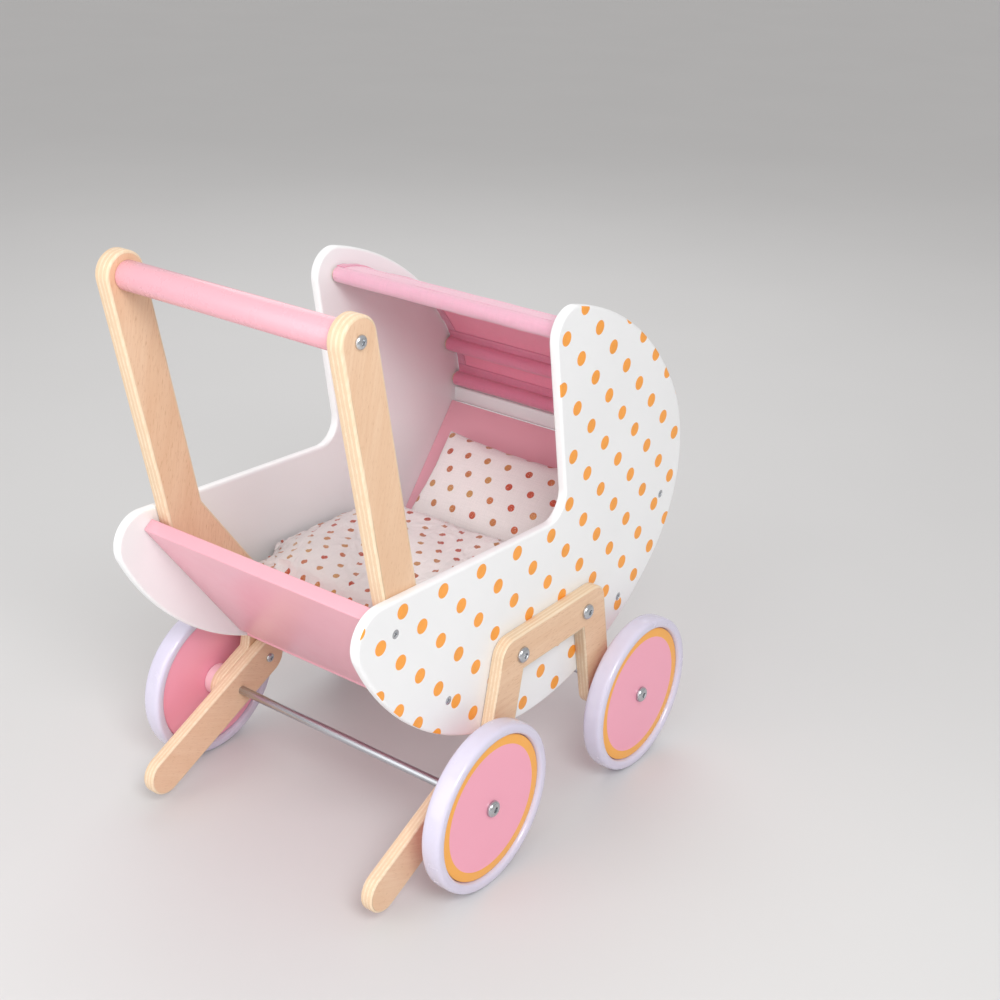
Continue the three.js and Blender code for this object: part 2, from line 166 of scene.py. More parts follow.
def newGroup(name, inputs, outputs):
    tree = bpy.data.node_groups.new(name, "ShaderNodeTree")
    for label, kind, value in inputs:
        socket = tree.interface.new_socket(name=label, in_out="INPUT", socket_type="NodeSocket" + kind)
        if value is not None:
            socket.default_value = value
    for label, kind in outputs:
        tree.interface.new_socket(name=label, in_out="OUTPUT", socket_type="NodeSocket" + kind)
    start = put(tree, "NodeGroupInput")
    end = put(tree, "NodeGroupOutput")
    return tree, start.outputs, end.inputs


def useGroup(tree, group, **values):
    node = put(tree, "ShaderNodeGroup", node_tree=group)
    for name, value in values.items():
        wire(tree, value, node.inputs[name])
    return node.outputs


# effects shared by several materials
# Long wood fibres with short flecks; Vector runs along the grain in X
woodGrain, g, out = newGroup(
    "wood grain",
    [("Vector", "Vector", None), ("Fineness", "Float", 1.0)],
    [("Fibre", "Float"), ("Fleck", "Float"), ("Cloud", "Float")],
)
stretched = mapped(woodGrain, g["Vector"], scale=(14, 420, 420))
fibre = grain(woodGrain, stretched, g["Fineness"], 5, 0.62, 0.25)
flecks = grain(woodGrain, mapped(woodGrain, g["Vector"], scale=(170, 1500, 1500)), g["Fineness"], 1, 0.4)
cloud = grain(woodGrain, mapped(woodGrain, g["Vector"], scale=(7, 34, 34)), g["Fineness"], 2, 0.5, 0.6)
wire(woodGrain, spread(woodGrain, fibre, 0.35, 0.68), out["Fibre"])
wire(woodGrain, spread(woodGrain, flecks, 0.62, 0.72), out["Fleck"])
wire(woodGrain, spread(woodGrain, cloud, 0.3, 0.7), out["Cloud"])

# Half-drop lattice of round dots
dotLattice, g, out = newGroup(
    "dot lattice",
    [
        ("Across", "Float", 0.0), ("Up", "Float", 0.0), ("Column", "Float", 0.025),
        ("Pitch", "Float", 0.044), ("Radius", "Float", 0.0055), ("Blur", "Float", 0.0002),
    ],
    [("Mask", "Float")],
)
columnAt = calc(dotLattice, "DIVIDE", g["Across"], g["Column"])
columnIndex = calc(dotLattice, "FLOOR", columnAt)
across = calc(
    dotLattice, "MULTIPLY", calc(dotLattice, "SUBTRACT", calc(dotLattice, "FRACT", columnAt), 0.5),
    g["Column"],
)
drop = calc(dotLattice, "MULTIPLY", calc(dotLattice, "FLOORED_MODULO", columnIndex, 2.0), 0.5)
rowAt = calc(dotLattice, "ADD", calc(dotLattice, "DIVIDE", g["Up"], g["Pitch"]), drop)
up = calc(
    dotLattice, "MULTIPLY", calc(dotLattice, "SUBTRACT", calc(dotLattice, "FRACT", rowAt), 0.5),
    g["Pitch"],
)
away = calc(
    dotLattice, "SQRT",
    calc(dotLattice, "ADD", calc(dotLattice, "POWER", across, 2.0), calc(dotLattice, "POWER", up, 2.0)),
)
fade = calc(dotLattice, "DIVIDE", calc(dotLattice, "SUBTRACT", away, g["Radius"]), g["Blur"], clamp=True)
wire(dotLattice, calc(dotLattice, "SUBTRACT", 1.0, fade), out["Mask"])

# Plain weave from two thread directions
plainWeave, g, out = newGroup(
    "plain weave",
    [("Across", "Float", 0.0), ("Along", "Float", 0.0), ("Thread", "Float", 0.0006)],
    [("Height", "Float"), ("Shade", "Float")],
)
warp = calc(plainWeave, "DIVIDE", g["Across"], g["Thread"])
weft = calc(plainWeave, "DIVIDE", g["Along"], g["Thread"])
parity = calc(
    plainWeave, "FLOORED_MODULO",
    calc(plainWeave, "ADD", calc(plainWeave, "FLOOR", warp), calc(plainWeave, "FLOOR", weft)), 2.0,
)
warpRound = calc(
    plainWeave, "SINE", calc(plainWeave, "MULTIPLY", calc(plainWeave, "FRACT", warp), math.pi),
)
weftRound = calc(
    plainWeave, "SINE", calc(plainWeave, "MULTIPLY", calc(plainWeave, "FRACT", weft), math.pi),
)
high = calc(
    plainWeave, "MULTIPLY", calc(plainWeave, "MULTIPLY", warpRound, weftRound),
    calc(plainWeave, "ADD", 0.55, calc(plainWeave, "MULTIPLY", parity, 0.45)),
)
wire(plainWeave, high, out["Height"])
wire(plainWeave, calc(plainWeave, "ADD", 0.86, calc(plainWeave, "MULTIPLY", high, 0.2)), out["Shade"])

# Lacquer: slow hue drift, fine orange peel and rubbed spots that change the gloss
lacquerFilm, g, out = newGroup(
    "lacquer film",
    [("Vector", "Vector", None), ("Drift", "Float", 1.0)],
    [("Drift", "Float"), ("Peel", "Float"), ("Rub", "Float")],
)
drift = grain(lacquerFilm, g["Vector"], 9.0, 2, 0.5)
peel = grain(lacquerFilm, g["Vector"], 650.0, 2, 0.5)
rub = grain(lacquerFilm, g["Vector"], 46.0, 5, 0.65)
wire(
    lacquerFilm, calc(lacquerFilm, "MULTIPLY", spread(lacquerFilm, drift, 0.3, 0.7), g["Drift"]),
    out["Drift"],
)
wire(lacquerFilm, peel, out["Peel"])
wire(lacquerFilm, spread(lacquerFilm, rub, 0.45, 0.75), out["Rub"])


# materials
def newMaterial(name):
    material = bpy.data.materials.new(name)
    material.use_nodes = True
    tree = material.node_tree
    shader = tree.nodes["Principled BSDF"]
    return material, tree, shader.inputs


def bump(tree, inputs, height, distance, strength=1.0):
    node = put(tree, "ShaderNodeBump")
    wire(tree, height, node.inputs["Height"])
    wire(tree, distance, node.inputs["Distance"])
    wire(tree, strength, node.inputs["Strength"])
    wire(tree, node.outputs[0], inputs["Normal"])


def objectCoordinates(tree):
    return put(tree, "ShaderNodeTexCoord").outputs["Object"]


def split(tree, vector):
    node = put(tree, "ShaderNodeSeparateXYZ")
    wire(tree, vector, node.inputs[0])
    return node.outputs


def lacquered(name, base, roughness=0.34, grainShows=0.3, dots=None):
    material, tree, inputs = newMaterial(name)
    where = objectCoordinates(tree)
    film = useGroup(tree, lacquerFilm, Vector=where)
    wood = useGroup(tree, woodGrain, Vector=where)
    darker = tuple(c * 0.9 for c in base[:3]) + (1.0,)
    paint = mixColour(tree, calc(tree, "MULTIPLY", film["Drift"], 0.3), base, darker)
    # Rounded edges get lighter paint in rubbed patches: partly wear, partly a painted highlight along the
    # edges
    wearAndEdgeHighlight = calc(tree, "MULTIPLY", attribute(tree, "edge"), calc(tree, "MULTIPLY", film["Rub"], 0.35))
    paint = mixColour(tree, wearAndEdgeHighlight, paint, tuple(min(1.0, c * 1.08 + 0.03) for c in base[:3]) + (1.0,))
    gloss = calc(tree, "ADD", roughness - 0.03, calc(tree, "MULTIPLY", film["Rub"], 0.07))
    height = calc(
        tree, "ADD", calc(tree, "MULTIPLY", film["Peel"], 0.2),
        calc(tree, "MULTIPLY", wood["Fibre"], grainShows),
    )
    if dots:
        slope = math.radians(dots["slope"])
        centre = place(*dots["through"])
        x, _, z = split(
            tree,
            mapped(tree, where, location=(centre.x, 0, centre.z), rotation=(0, slope, 0), kind="TEXTURE"),
        )
        mask = useGroup(
            tree, dotLattice, Across=calc(tree, "ADD", x, dots["column"] * mm / 2),
            Up=calc(tree, "ADD", z, dots["pitch"] * mm / 2), Column=dots["column"] * mm,
            Pitch=dots["pitch"] * mm, Radius=dots["radius"] * mm, Blur=0.00025,
        )["Mask"]
        mask = calc(tree, "MULTIPLY", mask, attribute(tree, "printed"))
        gold = mixColour(
            tree, film["Rub"], dots["gold"], tuple(c * 0.86 for c in dots["gold"][:3]) + (1.0,),
        )
        paint = mixColour(tree, mask, paint, gold)
        gloss = calc(tree, "ADD", gloss, calc(tree, "MULTIPLY", mask, 0.06))
        height = calc(tree, "ADD", height, calc(tree, "MULTIPLY", mask, 0.5))
    wire(tree, paint, inputs["Base Color"])
    wire(tree, gloss, inputs["Roughness"])
    bump(tree, inputs, height, 0.00006, 0.6)
    inputs["Coat Weight"].default_value = 0.12
    inputs["Coat Roughness"].default_value = 0.2
    return material


# Clear varnished plywood: fibres on the faces, bands of plies on the sawn edges
def varnishedPly(name, turn, plies):
    material, tree, inputs = newMaterial(name)
    along = mapped(tree, objectCoordinates(tree), rotation=(0, math.radians(turn), 0))
    wood = useGroup(tree, woodGrain, Vector=along)
    face = mixColour(tree, wood["Cloud"], colour(238, 204, 172), colour(230, 191, 156))
    face = mixColour(tree, calc(tree, "MULTIPLY", wood["Fibre"], 0.4), face, colour(221, 176, 139))
    face = mixColour(tree, calc(tree, "MULTIPLY", wood["Fleck"], 0.4), face, colour(190, 138, 92))
    depth = attribute(tree, "depth")
    wander = calc(tree, "MULTIPLY", calc(tree, "SUBTRACT", wood["Cloud"], 0.5), 0.02)
    ply = calc(tree, "MULTIPLY", calc(tree, "ADD", depth, wander), float(plies))
    cross = calc(tree, "FLOORED_MODULO", calc(tree, "FLOOR", ply), 2.0)
    joint = calc(tree, "ABSOLUTE", calc(tree, "SUBTRACT", calc(tree, "FRACT", ply), 0.5))
    glue = spread(tree, joint, 0.43, 0.49)
    endPores = grain(tree, mapped(tree, objectCoordinates(tree), scale=(900, 900, 900)), 1.0, 3, 0.6)
    longPly = mixColour(tree, wood["Fibre"], colour(242, 220, 192), colour(232, 204, 170))
    crossPly = mixColour(tree, endPores, colour(235, 208, 175), colour(224, 192, 156))
    edge = mixColour(tree, cross, longPly, crossPly)
    edge = mixColour(
        tree, calc(tree, "MULTIPLY", calc(tree, "MULTIPLY", glue, wood["Cloud"]), 0.5), edge,
        colour(150, 108, 70),
    )
    sawn = attribute(tree, "edge")
    wire(tree, mixColour(tree, sawn, face, edge), inputs["Base Color"])
    wire(
        tree,
        calc(
            tree, "ADD", calc(tree, "ADD", 0.38, calc(tree, "MULTIPLY", sawn, 0.14)),
            calc(tree, "MULTIPLY", wood["Fibre"], 0.1),
        ),
        inputs["Roughness"],
    )
    height = calc(
        tree, "SUBTRACT", calc(tree, "MULTIPLY", wood["Fibre"], -0.5),
        calc(tree, "MULTIPLY", calc(tree, "MULTIPLY", glue, sawn), 0.8),
    )
    bump(tree, inputs, height, 0.00012, 0.5)
    inputs["Coat Weight"].default_value = 0.1
    inputs["Coat Roughness"].default_value = 0.3
    return material


def metal(name, base, roughness, brushed):
    material, tree, inputs = newMaterial(name)
    where = objectCoordinates(tree)
    film = useGroup(tree, lacquerFilm, Vector=where)
    lines = grain(tree, mapped(tree, where, scale=brushed), 1.0, 3, 0.6)
    wire(
        tree, mixColour(tree, film["Drift"], base, tuple(c * 0.82 for c in base[:3]) + (1.0,)),
        inputs["Base Color"],
    )
    wire(tree, calc(tree, "ADD", roughness, calc(tree, "MULTIPLY", lines, 0.18)), inputs["Roughness"])
    bump(tree, inputs, calc(tree, "ADD", lines, film["Rub"]), 0.00002, 0.5)
    inputs["Metallic"].default_value = 1.0
    return material


def softPlastic(name, base, roughness):
    material, tree, inputs = newMaterial(name)
    film = useGroup(tree, lacquerFilm, Vector=objectCoordinates(tree))
    scuffed = mixColour(
        tree, calc(tree, "MULTIPLY", film["Rub"], 0.25), base, tuple(c * 0.85 for c in base[:3]) + (1.0,),
    )
    wire(tree, scuffed, inputs["Base Color"])
    wire(
        tree, calc(tree, "ADD", roughness, calc(tree, "MULTIPLY", film["Rub"], 0.2)), inputs["Roughness"],
    )
    bump(tree, inputs, film["Drift"], 0.0002, 0.3)
    inputs["Subsurface Weight"].default_value = 0.15
    inputs["Subsurface Radius"].default_value = (0.004, 0.004, 0.005)
    inputs["Coat Weight"].default_value = 0.3
    inputs["Coat Roughness"].default_value = 0.12
    return material


# Woven cloth on the piece's own UV map, which is its flat cut in metres
def wovenCloth(name, base, inside=None, thread=0.0007, dots=None, sheen=0.35, glow=0.0):
    material, tree, inputs = newMaterial(name)
    flat = put(tree, "ShaderNodeUVMap", uv_map="cut").outputs[0]
    u, v, _ = split(tree, flat)
    weave = useGroup(tree, plainWeave, Across=u, Along=v, Thread=thread)
    slub = grain(tree, mapped(tree, flat, scale=(60, 900, 1)), 1.0, 3, 0.6)
    slubAcross = grain(tree, mapped(tree, flat, scale=(900, 60, 1)), 1.0, 3, 0.6)
    mottled = calc(tree, "MULTIPLY", calc(tree, "ADD", slub, slubAcross), 0.5)
    cloth = base
    if inside:
        cloth = mixColour(tree, attribute(tree, "inside"), base, inside)
    if dots:
        mask = useGroup(
            tree, dotLattice, Across=u, Up=v, Column=dots["column"], Pitch=dots["pitch"],
            Radius=dots["radius"], Blur=0.0002,
        )["Mask"]
        rubbed = spread(tree, grain(tree, flat, 900.0, 3, 0.6), 0.25, 0.45)
        mask = calc(tree, "MULTIPLY", mask, rubbed)
        foil = mixColour(
            tree, spread(tree, grain(tree, flat, 16.0, 2, 0.5), 0.42, 0.58), dots["gold"], dots["copper"],
        )
        cloth = mixColour(tree, mask, cloth, foil)
        wire(tree, calc(tree, "MULTIPLY", mask, 0.55), inputs["Metallic"])
        wire(tree, calc(tree, "SUBTRACT", 0.9, calc(tree, "MULTIPLY", mask, 0.5)), inputs["Roughness"])
    else:
        wire(tree, calc(tree, "ADD", 0.72, calc(tree, "MULTIPLY", mottled, 0.2)), inputs["Roughness"])
    shade = calc(tree, "MULTIPLY", weave["Shade"], spread(tree, mottled, 0.3, 0.7, 0.93, 1.05))
    shaded = put(tree, "ShaderNodeMix", data_type="RGBA", blend_type="MULTIPLY")
    shaded.inputs["Factor"].default_value = 1.0
    wire(tree, cloth, shaded.inputs[6])
    wire(tree, shade, shaded.inputs[7])
    wire(tree, shaded.outputs[2], inputs["Base Color"])
    bump(
        tree, inputs, calc(tree, "ADD", weave["Height"], calc(tree, "MULTIPLY", mottled, 0.8)), 0.00018,
        0.7,
    )
    inputs["Sheen Weight"].default_value = sheen
    inputs["Sheen Roughness"].default_value = 0.5
    inputs["Subsurface Weight"].default_value = glow
    inputs["Subsurface Radius"].default_value = (0.004, 0.0022, 0.0028)
    inputs["Subsurface Scale"].default_value = 1.0
    return material


gold = colour(254, 166, 60)
panelDots = {
    "column": 24.75, "pitch": 43.8, "radius": 6.3, "slope": 2.7, "through": (145.3, 175.4), "gold": gold,
}
bedDots = {
    "column": 0.018, "pitch": 0.024, "radius": 0.0034, "gold": colour(214, 160, 92),
    "copper": colour(206, 86, 56),
}
whitePaint = lacquered("white paint", colour(243, 244, 245), 0.33, 0.25, panelDots)
palePink = lacquered("pale pink paint", colour(236, 174, 187), 0.36, 0.3)
barPink = lacquered("handle pink paint", colour(236, 174, 186), 0.3, 0.0)
discPink = lacquered("wheel pink paint", colour(250, 170, 192), 0.32, 0.1)
ringGold = lacquered("wheel gold print", colour(252, 178, 74), 0.38, 0.1)
hubPink = lacquered("hub pink paint", colour(246, 205, 214), 0.4, 0.1)
uprightPly = varnishedPly("upright plywood", 78, 7)
bracketPly = varnishedPly("bracket plywood", 0, 7)
legPly = varnishedPly("stop leg plywood", -25, 7)
dowelWood = varnishedPly("hood dowel", 90, 1)
boltSteel = metal("bolt steel", colour(205, 208, 212), 0.16, (300, 300, 300))
axleSteel = metal("axle steel", colour(196, 199, 204), 0.2, (2500, 12, 2500))
tyrePlastic = softPlastic("tyre plastic", colour(216, 211, 230), 0.16)
hoodCotton = wovenCloth("hood cotton", colour(248, 182, 202), colour(251, 158, 182), 0.0007, glow=0.5)
hemCotton = wovenCloth("hem cotton", colour(246, 156, 182), colour(244, 144, 172), 0.0007, glow=0.5)
bedCotton = wovenCloth("dotted cotton", colour(246, 240, 238), None, 0.0006, bedDots, 0.25)
tickCotton = wovenCloth("mattress cotton", colour(243, 238, 236), None, 0.0008)
print("materials ready")


# Outlines in the side view, as in a drawing: millimetres from the rear axle
def toward(angle):
    return np.array((math.cos(angle), math.sin(angle)))


def leftOf(direction):
    return np.array((-direction[1], direction[0]))


def arc(centre, radius, start, end, stepLength=1.2):
    count = max(6, int(abs(end - start) * radius / stepLength))
    return [centre + radius * toward(start + (end - start) * i / count) for i in range(count + 1)]


def crossing(a, u, b, v):
    length = np.cross(b - a, v) / np.cross(u, v)
    return a + u * length


def unit(vector):
    return vector / np.linalg.norm(vector)


def angleOf(vector):
    return math.atan2(vector[1], vector[0])


body = {
    "drop": 32.4, "headReach": 200, "headRadius": 137, "bellyRadius": 262, "bellyHead": -44.4,
    "bellyNose": 205.8, "crownRadius": 270, "crownHead": 33.1, "crownCorner": 77.5, "cornerRadius": 25,
    "noseRadius": 28, "notchRadius": 22, "lean": 10, "rimFall": 2.9, "thickness": 9, "innerHalf": 127,
}
bellyHead, bellyNose, crownHead, crownCorner, lean, rimFall = (
    math.radians(body[key])
    for key in ("bellyHead", "bellyNose", "crownHead", "crownCorner", "lean", "rimFall")
)
headCentre = np.array((
    body["headReach"],
    body["drop"] + body["bellyRadius"] + (body["bellyRadius"] - body["headRadius"]) * math.sin(bellyHead),
))
bellyCentre = headCentre + toward(bellyHead) * (body["headRadius"] - body["bellyRadius"])
crownCentre = headCentre + toward(crownHead) * (body["headRadius"] - body["crownRadius"])
cornerCentre = crownCentre + toward(crownCorner) * (body["crownRadius"] - body["cornerRadius"])
noseCentre = bellyCentre + toward(bellyNose) * (body["bellyRadius"] - body["noseRadius"])
quarter = math.pi / 2


def panelOutline():
    down = toward(-quarter + lean)
    rim = toward(-rimFall)
    front = cornerCentre - leftOf(down) * (body["cornerRadius"] + body["notchRadius"])
    top = noseCentre + leftOf(rim) * (body["noseRadius"] + body["notchRadius"])
    notchCentre = crossing(front, down, top, rim)
    return [
        *arc(notchCentre, body["notchRadius"], -quarter - rimFall, lean),
        *arc(cornerCentre, body["cornerRadius"], math.pi + lean, crownCorner),
        *arc(crownCentre, body["crownRadius"], crownCorner, crownHead)[1:],
        *arc(headCentre, body["headRadius"], crownHead, bellyHead)[1:],
        *arc(bellyCentre, body["bellyRadius"], bellyHead, bellyNose - 2 * math.pi)[1:],
        *arc(noseCentre, body["noseRadius"], bellyNose, quarter - rimFall)[1:],
    ]


# A strip along a bent path: round ends, round outside each bend and mitred inside it
def limbOutline(path, half):
    path = [np.array(p, float) for p in path]
    ways = [unit(b - a) for a, b in zip(path, path[1:])]

    def bends(stations, headings):
        points = []
        for station, before, after in zip(stations, headings, headings[1:]):
            turn = float(np.cross(before, after))
            start = angleOf(leftOf(before))
            if turn < 0:
                points += arc(station, half, start, start + math.asin(turn), 0.8)
            else:
                points.append(
                    crossing(
                        station + leftOf(before) * half, before, station + leftOf(after) * half, after,
                    )
                )
        return points

    def roundEnd(centre, heading):
        start = angleOf(leftOf(heading))
        return arc(centre, half, start, start - math.pi, 0.8)

    inner = path[1:-1]
    return [
        *bends(inner, ways),
        *roundEnd(path[-1], ways[-1]),
        *bends(inner[::-1], [-w for w in ways[::-1]]),
        *roundEnd(path[0], -ways[0]),
    ]


def shrunk(points, distance):
    before = points - np.roll(points, 1, 0)
    after = np.roll(points, -1, 0) - points
    before /= np.linalg.norm(before, axis=1)[:, None]
    after /= np.linalg.norm(after, axis=1)[:, None]
    a = np.stack((-before[:, 1], before[:, 0]), 1)
    b = np.stack((-after[:, 1], after[:, 0]), 1)
    return points + distance * (a + b) / (1 + (a * b).sum(1))[:, None]


def tidy(points):
    points = np.array(points, float)
    keep = np.linalg.norm(points - np.roll(points, 1, 0), axis=1) > 0.02
    points = points[keep]
    x, z = points.T
    area = (x * np.roll(z, -1) - np.roll(x, -1) * z).sum()
    return points if area > 0 else points[::-1]


def meshPiece(name, mesh, material):
    piece = bpy.data.objects.new(name, mesh)
    bpy.context.scene.collection.objects.link(piece)
    if not mesh.materials:
        mesh.materials.append(material)
    return piece


def smooth(mesh, angle=35):
    mesh.polygons.foreach_set("use_smooth", [True] * len(mesh.polygons))
    mesh.set_sharp_from_angle(angle=math.radians(angle))


# A board sawn to an outline, its edges rounded over; stored with where its faces, edges and plies are
def sawnBoard(name, outline, near, far, material, side=1, rounding=1.6, printed=0.0):
    outline = tidy(outline)
    rings = [(rounding + 0.5, near)]
    for i in range(5):
        angle = quarter * i / 4
        rings.append((rounding * (1 - math.sin(angle)), near + rounding * (1 - math.cos(angle))))
    rings += [(inset, near + far - y) for inset, y in reversed(rings)]
    form = bmesh.new()
    depthLayer = form.verts.layers.float.new("depth")
    edgeLayer = form.faces.layers.float.new("edge")
    printLayer = form.faces.layers.float.new("printed")
    loops = []
    for inset, y in rings:
        loop = []
        for x, z in shrunk(outline, inset):
            vertex = form.verts.new(place(x, z, side * y))
            vertex[depthLayer] = (y - near) / (far - near)
            loop.append(vertex)
        loops.append(loop)
    count = len(outline)
    for level, (low, high) in enumerate(zip(loops, loops[1:])):
        for i in range(count):
            j = (i + 1) % count
            face = form.faces.new((low[i], low[j], high[j], high[i]))
            flat = level in (0, len(loops) - 2)
            face[edgeLayer] = 0.0 if flat else 1.0
            face[printLayer] = printed if level >= len(loops) - 4 else 0.0
    form.faces.new(loops[0])
    cover = form.faces.new(loops[-1])
    cover[printLayer] = printed
    bmesh.ops.recalc_face_normals(form, faces=form.faces)
    mesh = bpy.data.meshes.new(name)
    form.to_mesh(mesh)
    form.free()
    mesh.polygons.foreach_set("use_smooth", [True] * len(mesh.polygons))
    return meshPiece(name, mesh, material)


# A profile of (radius, distance off the middle) turned about an axis along Y
def turnedMesh(name, profile, side, centre, segments, sharpAngle=35, bands=None):
    form = bmesh.new()
    rings = []
    for radius, y in profile:
        if radius < 1e-6:
            rings.append([form.verts.new(place(centre[0], centre[1], side * y))])
            continue
        rings.append([
            form.verts.new(place(
                centre[0] + radius * math.sin(2 * math.pi * i / segments),
                centre[1] + radius * math.cos(2 * math.pi * i / segments), side * y))
            for i in range(segments)
        ])
    closed = profile[0] == profile[-1]
    if closed:
        for vertex in rings[-1]:
            form.verts.remove(vertex)
        rings[-1] = rings[0]
    for level, (low, high) in enumerate(zip(rings, rings[1:])):
        for i in range(segments):
            j = (i + 1) % segments
            corners = [low[i % len(low)], low[j % len(low)], high[j % len(high)], high[i % len(high)]]
            corners = list(dict.fromkeys(corners))
            face = form.faces.new(corners)
            if bands:
                face.material_index = bands[level]
    bmesh.ops.recalc_face_normals(form, faces=form.faces)
    mesh = bpy.data.meshes.new(name)
    form.to_mesh(mesh)
    form.free()
    smooth(mesh, sharpAngle)
    return mesh


# The evaluated piece becomes a plain mesh, and its modifiers go
def settle(piece):
    bpy.context.view_layer.update()
    result = bpy.data.meshes.new_from_object(piece.evaluated_get(bpy.context.evaluated_depsgraph_get()))
    piece.modifiers.clear()
    old = piece.data
    piece.data = result
    bpy.data.meshes.remove(old)
    return piece


def drill(piece, cutters):
    for cutter in cutters:
        cut = piece.modifiers.new("hole", "BOOLEAN")
        cut.operation = "DIFFERENCE"
        cut.solver = "EXACT"
        cut.object = cutter
    settle(piece)
    for cutter in cutters:
        bpy.data.objects.remove(cutter)


def sunkHole(side, centre, face, inwards, head, shank, depth):
    out = 1 if inwards else -1
    profile = [(0, face - out * depth), (shank, face - out * depth), (shank, face - out * (head - shank)),
               (head, face), (head, face + out), (0, face + out)]
    return meshPiece("holeCutter", turnedMesh("holeCutter", profile, side, centre, 32), None)


def finished(piece, bodyName, *replaced):
    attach(piece, bodyName)
    if replaced:
        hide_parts(*replaced)


# Places of the boards and fittings, as in the CAD
boards = {
    "floorBottom": 52, "floorTop": 61, "thickness": 12, "footSlope": 36.4, "headSlope": 37.7,
    "footTop": (4, 14.6), "headTopAngle": -4.7, "headTopInset": 14.5, "lift": 4.5, "halfWidth": 126.7,
    "footScrews": (19.7, 133), "headScrews": (28, 134),
}
handle = {
    "half": 19, "inner": 111.7, "outer": 126.7, "lean": 12, "bend": 17.4, "barHeight": 430,
    "footLift": 29, "fixing": 72, "barRadius": 12, "barHalf": 111.4,
}
panelInner = body["innerHalf"]
panelOuter = panelInner + body["thickness"]
brackets = {
    "inner": 136.3, "outer": 148.3, "half": 18, "knee": 38, "shoulder": (57, 112), "bolt": (68, 110),
    "base": 235,
}
legs = {"inner": 124, "outer": 136, "half": 19, "clearance": 5.5, "floorClearance": 12}
hood = {
    "inset": 6, "rod": 5, "rodHalf": 131.7, "sleeve": 7.6, "middle": 28, "rear": 8, "half": 125,
    "meets": 55, "railAngle": -0.5, "railInset": 10, "railHeight": 16, "railThickness": 9,
}


def atHeight(start, direction, z):
    return start + direction * (z - start[1]) / direction[1]


def onHeadArc(degrees, radius):
    return headCentre + toward(math.radians(degrees)) * radius


footWay = toward(-quarter + math.radians(boards["footSlope"]))
headWay = toward(-quarter - math.radians(boards["headSlope"]))
footStart = noseCentre + np.array(boards["footTop"])
headStart = onHeadArc(boards["headTopAngle"], body["headRadius"] - boards["headTopInset"])
boardEnd = boards["floorTop"] + boards["lift"]
footEnd = atHeight(footStart, footWay, boardEnd)
headEnd = atHeight(headStart, headWay, boardEnd)
footFace = footStart + leftOf(footWay) * boards["thickness"] / 2
headFace = headStart - leftOf(headWay) * boards["thickness"] / 2
screwSpots = [footStart + footWay * d for d in boards["footScrews"]] + [
    headStart + headWay * d for d in boards["headScrews"]
]
bend = footFace + leftOf(footWay) * (handle["half"] + 0.3) + footWay * handle["bend"]
barCentre = atHeight(bend, toward(quarter + math.radians(handle["lean"])), handle["barHeight"])
uprightFoot = atHeight(bend, footWay, boards["floorTop"] + handle["footLift"])
uprightFixing = bend + footWay * handle["fixing"]
bellyAtKnee = bellyCentre[1] - math.sqrt(
    body["bellyRadius"] ** 2 - (brackets["knee"] - bellyCentre[0]) ** 2
)
knee = np.array((brackets["knee"], bellyAtKnee - legs["half"] - legs["clearance"]))
legTip = atHeight(knee, unit(knee), legs["floorClearance"] + legs["half"] - rearAxle.z / mm)
frontAxle = np.array((brackets["base"], 0.0))
flip = np.array((-1, 1))
shoulder = np.array(brackets["shoulder"], float)
boltSpots = [np.array(brackets["bolt"], float), frontAxle + np.array(brackets["bolt"]) * flip]
bracketPath = [
    np.zeros(2), knee, shoulder, frontAxle + shoulder * flip, frontAxle + knee * flip, frontAxle,
]
rods = {
    "front": cornerCentre,
    "middle": onHeadArc(hood["middle"], body["headRadius"] - hood["inset"] - hood["sleeve"]),
    "rear": onHeadArc(hood["rear"], body["headRadius"] - hood["inset"] - hood["sleeve"]),
}
railCentre = onHeadArc(hood["railAngle"], body["headRadius"] - hood["railInset"])
sides = {"right": -1, "left": 1}


def easedBoard(top, bottom, thickness, corner=1.4):
    way = unit(bottom - top)
    across = leftOf(way)
    half = thickness / 2
    length = np.linalg.norm(bottom - top)
    points = []
    low, high, far = corner - half, half - corner, length - corner
    for turn, (a, b) in enumerate(((corner, high), (corner, low), (far, low), (far, high))):
        centre = top + way * a + across * b
        start = angleOf(across) + quarter * turn
        points += [centre + corner * toward(start + quarter * i / 4) for i in range(5)]
    return points


for word, side in sides.items():
    panel = sawnBoard(
        word + "SidePanel", panelOutline(), panelInner, panelOuter, whitePaint, side, 2.4, 1.0,
    )
    drill(panel, [sunkHole(side, spot, panelOuter, True, 4.1, 2.2, 8.6) for spot in screwSpots])
    finished(panel, "frame", word + "_side_panel")
    dogLeg = limbOutline([barCentre, bend, uprightFoot], handle["half"])
    upright = sawnBoard(
        word + "HandleUpright", dogLeg, handle["inner"], handle["outer"], uprightPly, side, 2.4,
    )
    drill(upright, [sunkHole(side, uprightFixing, handle["inner"], False, 4.3, 2.2, 14)])
    finished(upright, "frame", word + "_handle_upright")
    arch = limbOutline(bracketPath, brackets["half"])
    bracket = sawnBoard(
        word + "AxleBracket", arch, brackets["inner"], brackets["outer"], bracketPly, side, 1.8,
    )
    finished(bracket, "frame", word + "_axle_bracket")
    leg = limbOutline([knee, legTip], legs["half"])
    stopLeg = sawnBoard(word + "StopLeg", leg, legs["inner"], legs["outer"], legPly, side, 2.2)
    finished(stopLeg, "frame", word + "_stop_leg")
print("side panels, uprights, brackets and legs ready")

